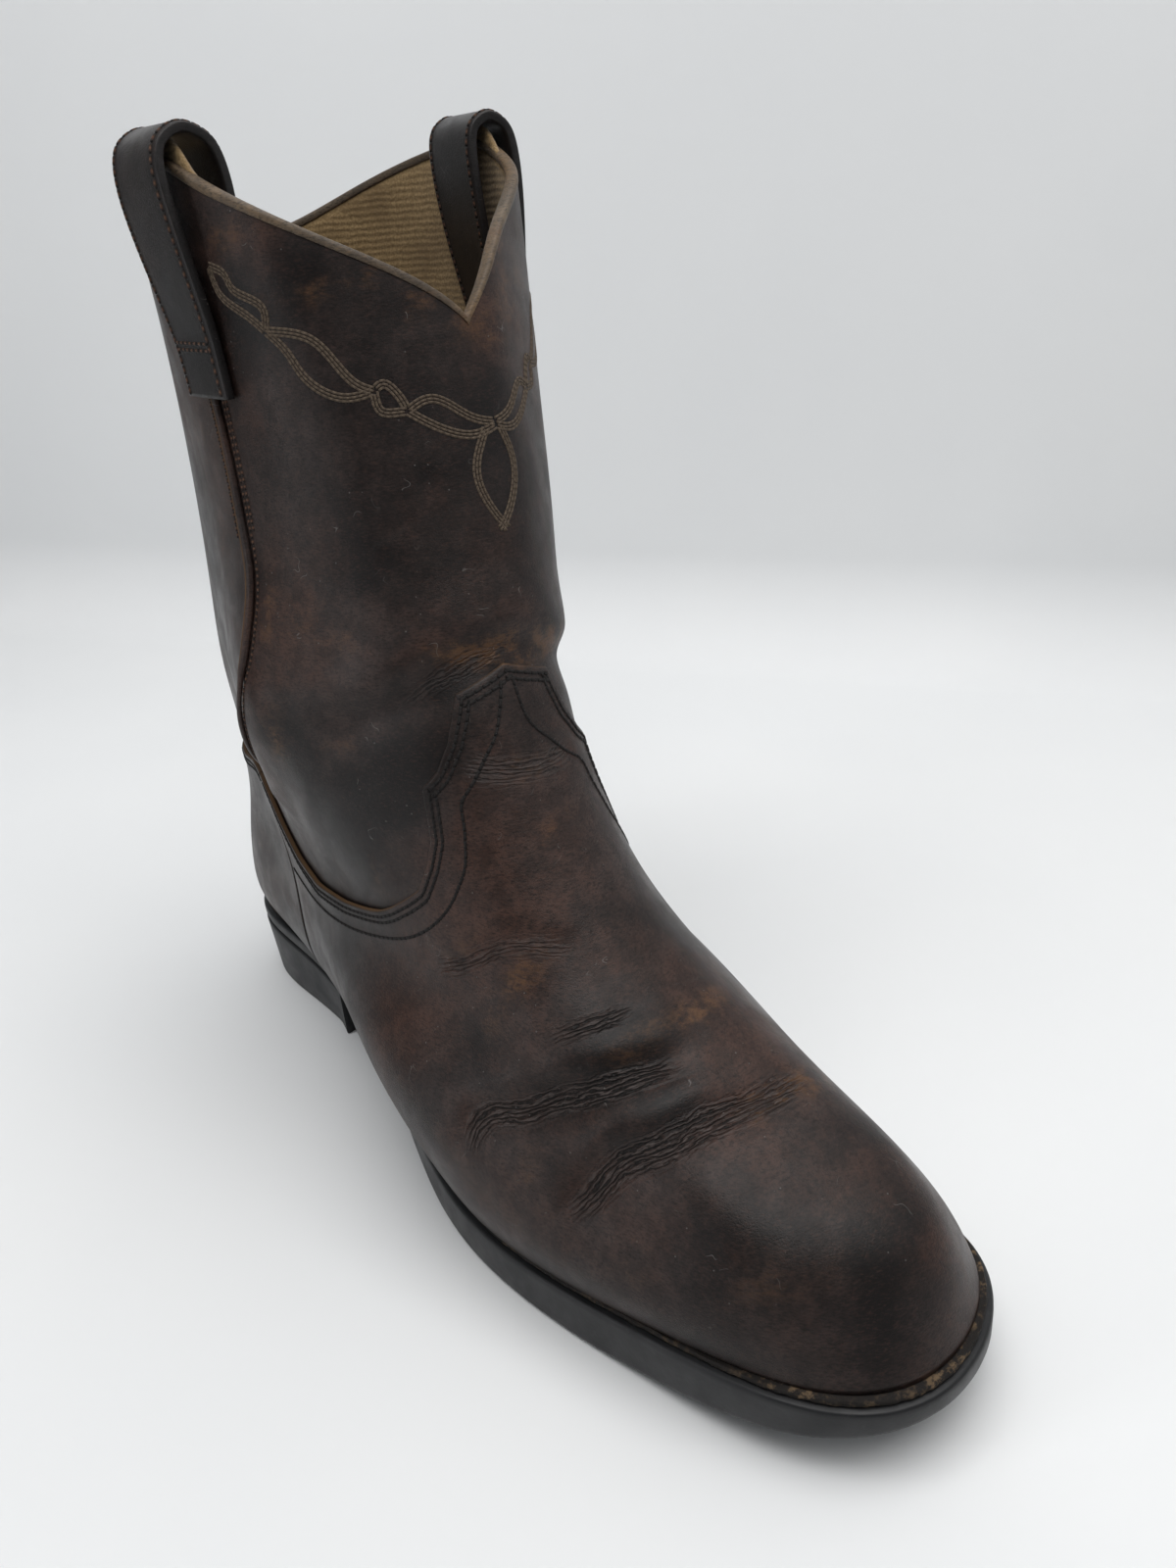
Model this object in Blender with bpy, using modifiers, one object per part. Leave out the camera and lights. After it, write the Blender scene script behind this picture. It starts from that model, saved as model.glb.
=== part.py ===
# Right western boot, short shaft, round toe, low rubber heel.
# Metres, +Z up, toe toward -Y, little-toe side toward -X, standing on z = 0.
# Sizes below are in millimetres; t is the distance forward from the back of the sole.

import bpy
import bmesh
import math
import numpy as np

MM = 0.001

# Driving dimensions
CENTRE_T = 142.0
CENTRE_X = 0.3
WALL = 2.4
GAP = 0.3
OVERLAY = 1.3
COLLAR_PEAK = 247.0
COLLAR_FRONT = 211.5
COLLAR_BACK = 229.0
COLLAR_TIP = 2.2
TIP_SPREAD = 13.0
COLUMNS = 40
ROWS = 22
SOLE_COLUMNS = 80
MIDSOLE = 1.4
MIDSOLE_RECESS = 1.4
SOLE_AT_HEEL = 5.0
INSOLE = 3.0
INSOLE_INSET = 5.4
BREAST_T = 73.0
BREAST_HOLLOW = 5.0
BREAST_RADIUS = 90.0
HEEL_TAPER = 1.6
SOLE_BEVEL = 1.2
SEAM_ANGLE = 76.0
SEAM_HALF = 1.9
STRAP_THICK = 2.6
STRAP_LEVEL = 245.6
STRAP_TOP_HALF = 12.5
STRAP_TAB_HALF = 9.0
WING_END = 116.0
PIECE_GAP = 0.7

# One row per ring of the upper, feather first.
# Ring ends: back_t, back_z, front_t, front_z; front_x and mid_x are sideways shifts,
# camber is the share of the foot's curve, dip is how far the sides sag below the ends.
# Half widths: toe, fore, joint, waist, heel, seat, from front to back.
RING_COLUMNS = (
    "back_t", "back_z", "front_t", "front_z", "front_x", "mid_x", "camber", "dip",
    "toe", "fore", "joint", "waist", "heel", "seat",
)
RINGS = (
    (3.4, 28.9, 279.4, 20.7, 3.0, 1.2, 1.0, 10.0, 24.4, 34.6, 38.5, 30.0, 28.0, 27.0),
    (4.6, 38.2, 276.4, 28.1, 6.8, 0.2, 1.0, 8.3, 23.6, 37.3, 41.0, 34.6, 33.0, 27.6),
    (6.8, 48.4, 271.9, 36.8, 8.8, -0.3, 0.9, 6.1, 21.5, 34.2, 43.5, 37.6, 34.4, 27.3),
    (10.2, 59.5, 262.6, 45.4, 8.0, -0.4, 0.8, 3.5, 19.0, 29.6, 43.0, 38.7, 33.6, 26.8),
    (13.8, 70.5, 240.8, 53.4, 5.5, -0.4, 0.6, 1.7, 17.4, 28.2, 37.6, 37.3, 32.2, 25.6),
    (17.4, 81.6, 216.2, 63.3, 2.8, -1.8, 0.4, 0.0, 17.2, 27.3, 33.6, 36.0, 30.2, 23.8),
    (20.0, 93.6, 192.2, 79.6, 0.0, -4.1, 0.2, 0.0, 16.0, 27.0, 34.5, 34.8, 28.6, 22.2),
    (21.5, 109.0, 173.3, 102.2, -1.8, -6.1, 0.0, 0.0, 16.0, 28.2, 37.6, 34.7, 28.0, 21.1),
    (21.4, 129.1, 160.6, 127.1, -1.8, -5.6, 0.0, 0.0, 17.4, 30.5, 41.8, 35.8, 29.0, 20.0),
    (20.8, 159.6, 151.3, 158.7, 0.6, -0.8, 0.0, 0.0, 17.2, 31.6, 40.4, 37.6, 31.4, 18.6),
    (19.9, 193.6, 141.4, 193.6, 3.1, 2.4, 0.0, 0.0, 18.3, 33.3, 40.0, 39.2, 32.2, 17.6),
    (18.5, 231.1, 131.9, 231.1, 5.2, 3.4, 0.0, 0.0, 20.8, 36.8, 41.2, 41.0, 31.2, 16.6),
    (17.4, 268.0, 124.0, 268.0, 6.6, 3.7, 0.0, 0.0, 22.4, 39.0, 41.8, 42.0, 30.6, 16.0),
)

# How far the sole stands out past the upper's lower edge: angle from the toe, margin.
MARGINS = (
    (0.0, 4.6),
    (30.0, 4.3),
    (60.0, 3.0),
    (90.0, 2.2),
    (115.0, 2.0),
    (140.0, 3.0),
    (180.0, 3.5),
)

# Underside of the sole in front of the heel: t, height.
SOLE_BOTTOM = (
    (73.0, 17.0),
    (100.0, 12.0),
    (125.0, 6.8),
    (146.0, 1.7),
    (160.0, 0.0),
    (210.0, 0.0),
    (238.0, 2.6),
    (260.0, 6.8),
    (286.0, 13.2),
)

# Upper edge of the vamp overlay and of the counter overlay: angle from the toe, ring number.
VAMP_EDGE = (
    (0.0, 8.42),
    (17.5, 8.27),
    (19.0, 8.12),
    (22.0, 7.92),
    (28.0, 7.68),
    (34.5, 7.52),
    (36.0, 7.32),
    (39.0, 7.00),
    (43.5, 6.74),
    (50.0, 6.42),
    (60.0, 6.10),
    (70.0, 5.75),
    (86.0, 5.25),
    (97.0, 5.00),
    (104.0, 5.15),
    (109.0, 5.60),
    (113.0, 6.05),
    (116.0, 6.20),
)
COUNTER_EDGE = (
    (116.0, 6.20),
    (125.0, 6.10),
    (140.0, 5.75),
    (160.0, 5.65),
    (172.0, 5.90),
    (180.0, 6.05),
)

# Path of a piped side seam, from under the pull strap down to the counter: angle, ring number.
SEAM_PATH = (
    (76.0, 10.06),
    (75.5, 9.43),
    (74.0, 9.00),
    (76.0, 8.60),
    (80.0, 8.15),
    (86.0, 7.60),
    (99.0, 6.90),
    (111.0, 6.42),
)

# Path of a pull strap, from the outside tab over the collar to the inside.
# Height is the drop below the strap's level plus a share of the loop's rise. Offset out from the upper
# is the rest value plus shares of how far the loop stands out and in. Width runs from tab to loop.
# Columns: drop, rise, rest, out, in, width.
STRAP_PATH = (
    (-47.0, 0.0, 1.65, 0.00, 0.00, 0.0),
    (-40.0, 0.0, 1.65, 0.00, 0.00, 0.1),
    (-32.0, 0.0, 1.5, 0.10, 0.00, 0.3),
    (-22.0, 0.0, 1.0, 0.45, 0.00, 0.6),
    (-11.0, 0.0, 0.5, 0.80, 0.00, 0.9),
    (-2.0, 0.0, 0.0, 1.00, 0.00, 1.0),
    (0.0, 0.50, 0.0, 0.93, 0.07, 1.0),
    (0.0, 0.85, 0.0, 0.75, 0.25, 1.0),
    (0.0, 1.00, 0.0, 0.50, 0.50, 1.0),
    (0.0, 0.85, 0.0, 0.25, 0.75, 1.0),
    (0.0, 0.50, 0.0, 0.07, 0.93, 1.0),
    (-3.0, 0.0, 0.0, 0.00, 1.00, 1.0),
    (-14.0, 0.0, -0.7, 0.00, 0.85, 0.9),
    (-26.0, 0.0, -2.6, 0.00, 0.45, 0.6),
    (-40.0, 0.0, -4.25, 0.00, 0.00, 0.3),
    (-52.0, 0.0, -4.25, 0.00, 0.00, 0.0),
)

# Each pull strap: node, side, how far its loop stands out and in, how far it rises.
STRAPS = (
    ("pull_strap_lateral", -1.0, 4.6, -10.5, 8.5),
    ("pull_strap_medial", 1.0, 3.4, -7.8, 7.4),
)

# Section of the collar binding: offset out from the upper, height above the collar.
BINDING_SECTION = (
    (0.45, -1.5),
    (1.25, -1.5),
    (1.3, 0.3),
    (0.5, 1.4),
    (-2.9, 1.4),
    (-3.7, 0.3),
    (-3.65, -1.5),
    (-2.85, -1.5),
    (-2.85, 0.7),
    (0.45, 0.7),
)

# Colours and surface of each node's material: red, green, blue, roughness.
LOOKS = {
    "upper": (0.035, 0.024, 0.020, 0.50),
    "vamp": (0.038, 0.026, 0.022, 0.48),
    "heel_counter": (0.036, 0.025, 0.021, 0.50),
    "side_seam_lateral": (0.030, 0.021, 0.018, 0.50),
    "side_seam_medial": (0.030, 0.021, 0.018, 0.50),
    "collar_binding": (0.060, 0.048, 0.042, 0.55),
    "pull_strap_lateral": (0.038, 0.028, 0.025, 0.50),
    "pull_strap_medial": (0.038, 0.028, 0.025, 0.50),
    "insole": (0.300, 0.220, 0.130, 0.85),
    "midsole": (0.030, 0.024, 0.020, 0.80),
    "outsole": (0.012, 0.012, 0.013, 0.60),
    "heel": (0.012, 0.012, 0.013, 0.60),
}

CONTROL_POINTS = 14


def smooth(x):
    """Ease from 0 to 1."""
    x = np.clip(x, 0.0, 1.0)
    return x * x * (3.0 - 2.0 * x)


def camber(t):
    """Sideways curve of the foot's centre line, + toward the big-toe side."""
    return -4.4 * smooth((t - 65.0) / 105.0) + 9.6 * smooth((t - 161.0) / 113.0)


def dip_shape(s):
    """How the lower edge sags between its ends; s is 0 at the back and 1 at the front."""
    return np.sin(np.pi * np.clip(s, 0.0, 1.0) ** 1.4) ** 1.5


def column(name):
    """One column of the ring table."""
    place = RING_COLUMNS.index(name)
    return np.array([row[place] for row in RINGS])


def control_net():
    """Control points of the upper, ring by ring, as x, t, z."""
    turn = 2.0 * np.pi * np.arange(CONTROL_POINTS) / CONTROL_POINTS
    s = 0.5 + 0.5 * np.cos(turn)
    half = CONTROL_POINTS // 2
    names = ("toe", "fore", "joint", "waist", "heel", "seat")
    net = np.zeros((len(RINGS), CONTROL_POINTS, 3))
    back_t = column("back_t")[:, None]
    back_z = column("back_z")[:, None]
    front_t = column("front_t")[:, None]
    front_z = column("front_z")[:, None]
    t = back_t + (front_t - back_t) * s[None]
    net[:, :, 1] = t
    net[:, :, 2] = back_z + (front_z - back_z) * s[None] - column("dip")[:, None] * dip_shape(s)[None]
    bend = column("camber")[:, None] * camber(t)
    for place, name in enumerate(names):
        net[:, 1 + place, 0] = column(name) + bend[:, 1 + place]
        net[:, CONTROL_POINTS - 1 - place, 0] = bend[:, CONTROL_POINTS - 1 - place] - column(name)
    net[:, 0, 0] = column("front_x")
    net[:, half, 0] = 0.0
    net[:, :, 0] += column("mid_x")[:, None] - CENTRE_X
    return net


def spline_weights(count, place, closed):
    """Weights of a smooth curve through evenly spaced values, one row per place."""
    rate = np.zeros((count, count))
    step = np.zeros((count, count))
    for i in range(count):
        before = (i - 1) % count
        after = (i + 1) % count
        if closed or 0 < i < count - 1:
            rate[i, i] = 4.0
            rate[i, before] = 1.0
            rate[i, after] = 1.0
            step[i, before] = -3.0
            step[i, after] = 3.0
    if not closed:
        rate[0, 0:2] = (2.0, 1.0)
        rate[-1, -2:] = (1.0, 2.0)
        step[0, 0:2] = (-3.0, 3.0)
        step[-1, -2:] = (-3.0, 3.0)
    slope = np.linalg.solve(rate, step)
    place = np.asarray(place, float)
    if closed:
        place = place % count
        low = np.floor(place).astype(int) % count
        high = (low + 1) % count
        part = place - np.floor(place)
    else:
        place = np.clip(place, 0.0, count - 1.0)
        low = np.minimum(np.floor(place).astype(int), count - 2)
        high = low + 1
        part = place - low
    part = part[:, None]
    keep = np.eye(count)
    weights = (2.0 * part**3 - 3.0 * part**2 + 1.0) * keep[low]
    weights = weights + (part**3 - 2.0 * part**2 + part) * slope[low]
    weights = weights + (3.0 * part**2 - 2.0 * part**3) * keep[high]
    return weights + (part**3 - part**2) * slope[high]


NET = control_net()


def skin(angle, ring):
    """Points of the upper's outside for matching arrays of angle (degrees) and ring number."""
    shape = np.shape(angle)
    turn = np.ravel(angle) / 360.0 * CONTROL_POINTS
    around = spline_weights(CONTROL_POINTS, turn, True)
    along = spline_weights(len(RINGS), np.ravel(ring), False)
    flat = np.einsum("pr,rcx,pc->px", along, NET, around)
    points = np.stack([flat[:, 0], CENTRE_T - flat[:, 1], flat[:, 2]], 1)
    return points.reshape(shape + (3,))


def skin_normal(angle, ring):
    """Outward direction of the upper's outside."""
    across = skin(angle + 0.5, ring) - skin(angle - 0.5, ring)
    up = skin(angle, np.minimum(ring + 0.03, 12.0)) - skin(angle, np.maximum(ring - 0.03, 0.0))
    normal = np.cross(across, up)
    return normal / np.linalg.norm(normal, axis=-1, keepdims=True)


def offset_skin(angle, ring, offset):
    """Points a given distance out from the upper's outside."""
    return skin(angle, ring) + skin_normal(angle, ring) * np.asarray(offset)[..., None]


def collar_height(angle):
    """Height of the collar edge: a V in front, tips under the straps, a soft dip behind."""
    turn = np.abs((np.asarray(angle, float) + 180.0) % 360.0 - 180.0)
    rise = np.sin(np.clip(turn / 90.0, 0.0, 1.0) * np.pi / 2.0) ** 0.85
    fall = 0.5 - 0.5 * np.cos(np.pi * np.clip((turn - 90.0) / 90.0, 0.0, 1.0))
    tip = np.exp(-(((turn - SEAM_ANGLE) / TIP_SPREAD) ** 2))
    side = COLLAR_FRONT + (COLLAR_PEAK - COLLAR_FRONT) * rise + COLLAR_TIP * tip
    return side - (COLLAR_PEAK - COLLAR_BACK) * fall


def ring_at_height(angle, height):
    """Ring number where the shaft at each angle reaches a height."""
    shape = np.shape(angle)
    steps = np.linspace(6.0, 12.0, 181)
    found = []
    for one_angle, one_height in zip(np.ravel(angle), np.ravel(height)):
        heights = skin(np.full(steps.shape, one_angle), steps)[:, 2]
        found.append(np.interp(one_height, heights, steps))
    return np.array(found).reshape(shape)


def table_curve(table, x):
    """Smooth curve through a two-column table, flat or sloping without overshoot."""
    xs = np.array([row[0] for row in table])
    ys = np.array([row[1] for row in table])
    width = np.diff(xs)
    slope = np.diff(ys) / width
    rate = np.zeros(len(xs))
    rate[0] = slope[0]
    rate[-1] = slope[-1]
    for i in range(1, len(xs) - 1):
        if slope[i - 1] * slope[i] > 0.0:
            rate[i] = 2.0 * slope[i - 1] * slope[i] / (slope[i - 1] + slope[i])
    x = np.clip(np.asarray(x, float), xs[0], xs[-1])
    low = np.clip(np.searchsorted(xs, x, side="right") - 1, 0, len(xs) - 2)
    part = (x - xs[low]) / width[low]
    value = (2.0 * part**3 - 3.0 * part**2 + 1.0) * ys[low]
    value = value + (part**3 - 2.0 * part**2 + part) * width[low] * rate[low]
    value = value + (3.0 * part**2 - 2.0 * part**3) * ys[low + 1]
    return value + (part**3 - part**2) * width[low] * rate[low + 1]


def edge_curve(table, angle):
    """Straight-line reading of an edge table."""
    return np.interp(np.abs(angle), [row[0] for row in table], [row[1] for row in table])


def new_collection(name):
    """A collection linked to the scene."""
    made = bpy.data.collections.new(name)
    bpy.context.scene.collection.children.link(made)
    return made


def new_object(name, points, faces, collection):
    """A mesh object from points in millimetres, with its faces turned outward."""
    mesh = bpy.data.meshes.new(name)
    mesh.from_pydata([tuple(point * MM) for point in np.asarray(points)], [], faces)
    build = bmesh.new()
    build.from_mesh(mesh)
    bmesh.ops.recalc_face_normals(build, faces=build.faces[:])
    build.to_mesh(mesh)
    build.free()
    made = bpy.data.objects.new(name, mesh)
    collection.objects.link(made)
    return made


def paint(made):
    """Give a node its own material."""
    red, green, blue, rough = LOOKS[made.name]
    material = bpy.data.materials.new(made.name)
    material.use_nodes = True
    shader = material.node_tree.nodes["Principled BSDF"]
    shader.inputs["Base Color"].default_value = (red, green, blue, 1.0)
    shader.inputs["Roughness"].default_value = rough
    made.data.materials.append(material)


def double_sheet(outer, inner, closed):
    """Points and faces of a solid between two grids; closed joins the last column to the first."""
    rows, columns = outer.shape[:2]
    points = np.concatenate([outer.reshape(-1, 3), inner.reshape(-1, 3)])
    shift = rows * columns
    spans = columns if closed else columns - 1
    faces = []
    for i in range(rows - 1):
        for j in range(spans):
            k = (j + 1) % columns
            quad = [i * columns + j, i * columns + k, (i + 1) * columns + k, (i + 1) * columns + j]
            if j >= spans // 2:
                quad = quad[1:] + quad[:1]
            for corners in ((quad[0], quad[1], quad[2]), (quad[0], quad[2], quad[3])):
                faces.append(corners)
                faces.append(tuple(shift + corner for corner in reversed(corners)))
    for j in range(spans):
        k = (j + 1) % columns
        faces.append((k, j, shift + j, shift + k))
        last = (rows - 1) * columns
        faces.append((last + j, last + k, shift + last + k, shift + last + j))
    if not closed:
        for i in range(rows - 1):
            first = i * columns
            faces.append((first, first + columns, shift + first + columns, shift + first))
            end = first + columns - 1
            faces.append((end + columns, end, shift + end, shift + end + columns))
    return points, faces


def skin_grid():
    """Angle and ring number of each point of the upper's grid, lower edge to collar."""
    angle = 360.0 * np.arange(COLUMNS) / COLUMNS
    top = ring_at_height(angle, collar_height(angle))
    share = np.arange(ROWS + 1) / ROWS
    return np.repeat(angle[None], ROWS + 1, 0), share[:, None] * top[None]


def make_upper(collection):
    """The hollow upper, open at the collar and underneath."""
    angle, ring = skin_grid()
    outer = skin(angle, ring)
    inner = offset_skin(angle, ring, np.full(angle.shape, -WALL))
    inner[0, :, 2] = outer[0, :, 2]
    points, faces = double_sheet(outer, inner, True)
    return new_object("upper", points, faces, collection)


def make_overlay(name, angle, ring, drop, collection, cutters):
    """A layer just off the upper's own faces, kept inside a patch of angles and ring numbers."""
    full_angle, full_ring = skin_grid()
    outer = offset_skin(full_angle, full_ring, np.full(full_angle.shape, GAP + OVERLAY))
    inner = offset_skin(full_angle, full_ring, np.full(full_angle.shape, GAP))
    edge = skin(full_angle, full_ring)[0, :, 2]
    outer[0, :, 2] = edge
    inner[0, :, 2] = edge
    points, faces = double_sheet(outer, inner, True)
    made = new_object(name, points, faces, collection)
    far = offset_skin(angle, ring, np.full(angle.shape, 5.0))
    near = offset_skin(angle, ring, np.full(angle.shape, -1.2))
    if drop > 0.0:
        far[-1, :, 2] -= drop
        near[-1, :, 2] -= drop
    points, faces = double_sheet(far, near, False)
    cutter = new_object(name + "_patch", points, faces, cutters)
    cutter.hide_render = True
    cutter.display_type = "WIRE"
    cut = made.modifiers.new("patch", "BOOLEAN")
    cut.operation = "INTERSECT"
    cut.solver = "EXACT"
    cut.object = cutter
    return made


def patch_below(angles, tops, rows):
    """Grid of angles and ring numbers from an upper edge down to the lower edge."""
    share = np.linspace(1.0, 0.0, rows)
    return np.repeat(angles[None], rows, 0), share[:, None] * tops[None]


def make_vamp(collection, cutters):
    """Vamp overlay with its tongue and wings."""
    corners = sorted(set([row[0] for row in VAMP_EDGE] + list(np.arange(0.0, WING_END, 9.0))))
    half = np.array(corners)
    angles = np.concatenate([-half[:0:-1], half])
    angle, ring = patch_below(angles, edge_curve(VAMP_EDGE, angles), 12)
    return make_overlay("vamp", angle, ring, 6.0, collection, cutters)


def make_counter(collection, cutters):
    """Heel counter overlay."""
    start = WING_END + PIECE_GAP
    angles = np.linspace(start, 360.0 - start, 21)
    turn = 180.0 - np.abs(angles - 180.0)
    angle, ring = patch_below(angles, edge_curve(COUNTER_EDGE, turn), 12)
    return make_overlay("heel_counter", angle, ring, 6.0, collection, cutters)


def make_seam(name, side, collection, cutters):
    """Raised strip down one side of the shaft."""
    steps = np.linspace(0.0, len(SEAM_PATH) - 1.0, 15)
    along = spline_weights(len(SEAM_PATH), steps, False)
    path = along @ np.array(SEAM_PATH)
    centre = side * path[:, 0]
    ring = path[:, 1]
    size = np.linalg.norm(skin(centre + 1.0, ring) - skin(centre - 1.0, ring), axis=1) / 2.0
    lean = np.gradient(skin(centre, ring), axis=0)
    lean = lean / np.linalg.norm(lean, axis=1)[:, None]
    spread = SEAM_HALF / size / np.maximum(0.5, np.abs(lean[:, 2]))
    angle = np.stack([centre - spread, centre, centre + spread], 1)
    return make_overlay(name, angle, np.repeat(ring[:, None], 3, 1), 0.0, collection, cutters)


def make_binding(collection):
    """Folded strip over the collar edge."""
    angle = 360.0 * np.arange(COLUMNS) / COLUMNS
    collar = collar_height(angle)
    loops = []
    for offset, height in BINDING_SECTION:
        ring = ring_at_height(angle, collar + height)
        loops.append(offset_skin(angle, ring, np.full(angle.shape, offset)))
    points = np.concatenate(loops)
    faces = []
    turns = len(loops)
    for i in range(turns):
        low = i * COLUMNS
        high = ((i + 1) % turns) * COLUMNS
        rising = BINDING_SECTION[i][1] <= BINDING_SECTION[(i + 1) % turns][1]
        for j in range(COLUMNS):
            k = (j + 1) % COLUMNS
            quad = [low + j, low + k, high + k, high + j]
            if rising != (j < COLUMNS // 2):
                quad = quad[1:] + quad[:1]
            faces.append((quad[0], quad[1], quad[2]))
            faces.append((quad[0], quad[2], quad[3]))
    return new_object("collar_binding", points, faces, collection)


def make_strap(name, side, stand_out, stand_in, rise, collection):
    """Looped pull strap over the collar at one side."""
    path = np.array(STRAP_PATH)
    steps = np.linspace(0.0, len(path) - 1.0, 23)
    path = spline_weights(len(path), steps, False) @ path
    across = np.linspace(-1.0, 1.0, 5)
    half = STRAP_TAB_HALF + (STRAP_TOP_HALF - STRAP_TAB_HALF) * np.clip(path[:, 5], 0.0, 1.0)
    centre = side * SEAM_ANGLE
    around = skin(centre + np.array([-1.0, 1.0]), np.array([11.0, 11.0]))
    per_degree = np.linalg.norm(around[1] - around[0]) / 2.0
    angle = centre + half[:, None] * across[None] / per_degree
    height = STRAP_LEVEL + path[:, 0] + path[:, 1] * rise
    ring = ring_at_height(angle, np.repeat(height[:, None], len(across), 1))
    offset = path[:, 2] + path[:, 3] * stand_out + path[:, 4] * stand_in
    middle = offset_skin(angle, ring, np.repeat(offset[:, None], len(across), 1))
    normal = np.cross(np.gradient(middle, axis=0), np.gradient(middle, axis=1))
    normal = normal / np.linalg.norm(normal, axis=-1, keepdims=True)
    half_thick = normal * STRAP_THICK / 2.0
    points, faces = double_sheet(middle + half_thick, middle - half_thick, False)
    return new_object(name, points, faces, collection)


def sole_outline(extra):
    """Outline round the upper's lower edge, moved out by a margin; extra may be an array."""
    angle = 360.0 * np.arange(SOLE_COLUMNS) / SOLE_COLUMNS
    edge = skin(angle, np.zeros(angle.shape))
    along = np.roll(edge, -1, 0) - np.roll(edge, 1, 0)
    out = np.stack([-along[:, 1], along[:, 0]], 1)
    out = out / np.linalg.norm(out, axis=1)[:, None]
    middle = edge[:, :2].mean(0)
    if np.sum((edge[:, :2] - middle) * out) < 0.0:
        out = -out
    moved = edge.copy()
    moved[:, :2] += out * np.asarray(extra)[..., None]
    return moved


def margins():
    """Sole margin at each outline point."""
    angle = 360.0 * np.arange(SOLE_COLUMNS) / SOLE_COLUMNS
    turn = 180.0 - np.abs(angle - 180.0)
    return np.interp(turn, [row[0] for row in MARGINS], [row[1] for row in MARGINS])


def stack_loops(name, loops, collection):
    """A solid from stacked loops, closed above and below by rungs from side to side."""
    count = len(loops[0])
    points = np.concatenate(loops)
    faces = []
    for level in range(len(loops) - 1):
        for j in range(count):
            k = (j + 1) % count
            low = level * count
            faces.append((low + j, low + k, low + count + k, low + count + j))
    for first in (0, (len(loops) - 1) * count):
        for j in range((count + 1) // 2):
            corners = [j, j + 1, (count - j - 1) % count, (count - j) % count]
            kept = []
            for corner in corners:
                if first + corner not in kept:
                    kept.append(first + corner)
            if len(kept) > 2:
                faces.append(tuple(kept))
    return new_object(name, points, faces, collection)


def at_height(loop, height):
    """A copy of a loop at other heights."""
    moved = loop.copy()
    moved[:, 2] = height
    return moved


def rung_t(loop):
    """Distance forward from the back of the sole, the same for both ends of a rung."""
    t = CENTRE_T - loop[:, 1]
    other = t[(-np.arange(len(t))) % len(t)]
    return (t + other) / 2.0


def sole_underside(loop):
    """Height of the sole's underside at each outline point."""
    seat = loop[:, 2] - 2.0 * GAP - MIDSOLE - SOLE_AT_HEEL
    front = table_curve(SOLE_BOTTOM, rung_t(loop))
    return np.where(rung_t(loop) < BREAST_T, np.maximum(seat, front), front)


def make_insole(collection):
    """Insole board inside the upper."""
    loop = sole_outline(np.full(SOLE_COLUMNS, -INSOLE_INSET))
    return stack_loops("insole", [loop, at_height(loop, loop[:, 2] + INSOLE)], collection)


def make_midsole(collection):
    """Thin recessed plate between the upper and the outsole."""
    loop = sole_outline(margins() - MIDSOLE_RECESS)
    top = loop[:, 2] - GAP
    return stack_loops("midsole", [at_height(loop, top - MIDSOLE), at_height(loop, top)], collection)


def make_outsole(collection):
    """Outsole with its arch and toe spring."""
    loop = sole_outline(margins())
    top = loop[:, 2] - 2.0 * GAP - MIDSOLE
    made = stack_loops("outsole", [at_height(loop, sole_underside(loop)), at_height(loop, top)], collection)
    round_edges(made, SOLE_BEVEL)
    return made


def round_edges(made, width):
    """Break the sharp edges of a piece."""
    edge = made.modifiers.new("edges", "BEVEL")
    edge.width = width * MM
    edge.segments = 1
    edge.limit_method = "ANGLE"
    edge.angle_limit = math.radians(50.0)
    edge.use_clamp_overlap = True


def make_heel(collection, cutters):
    """Heel block with its hollow front."""
    loop = sole_outline(margins())
    below = sole_underside(loop) - GAP
    t = rung_t(loop)
    half = SOLE_COLUMNS // 2
    order = list(range(half, 0, -1))
    kept = [i for i in order if t[i] < BREAST_T]
    last = kept[-1]
    part = (BREAST_T - t[last]) / (t[last - 1] - t[last])
    mate = (SOLE_COLUMNS - last) % SOLE_COLUMNS
    tops = np.concatenate([loop[:, :2], below[:, None]], 1)
    corner = tops[last] + (tops[last - 1] - tops[last]) * part
    other = tops[mate] + (tops[(mate + 1) % SOLE_COLUMNS] - tops[mate]) * part
    right = [tops[i] for i in kept] + [corner]
    left = [other] + [tops[SOLE_COLUMNS - i] for i in reversed(kept[1:])]
    top = np.array(right + left)
    bottom = top.copy()
    bottom[:, 2] = 0.0
    middle = np.array([top[:, 0].mean(), CENTRE_T - BREAST_T])
    reach = np.linalg.norm(top[:, :2] - middle, axis=1)
    inward = (middle - top[:, :2]) / reach[:, None]
    bottom[:, :2] += inward * np.minimum(HEEL_TAPER, reach / 4.0)[:, None]
    made = stack_loops("heel", [bottom, top], collection)
    turn = np.linspace(0.0, 2.0 * np.pi, 96, endpoint=False)
    ring = np.zeros((96, 3))
    ring[:, 0] = middle[0] + BREAST_RADIUS * np.cos(turn)
    ring[:, 1] = middle[1] + BREAST_HOLLOW - BREAST_RADIUS + BREAST_RADIUS * np.sin(turn)
    cutter = stack_loops("heel_hollow", [at_height(ring, -10.0), at_height(ring, 40.0)], cutters)
    cutter.hide_render = True
    cutter.display_type = "WIRE"
    cut = made.modifiers.new("hollow", "BOOLEAN")
    cut.operation = "DIFFERENCE"
    cut.solver = "EXACT"
    cut.object = cutter
    round_edges(made, 0.8)
    return made


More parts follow.
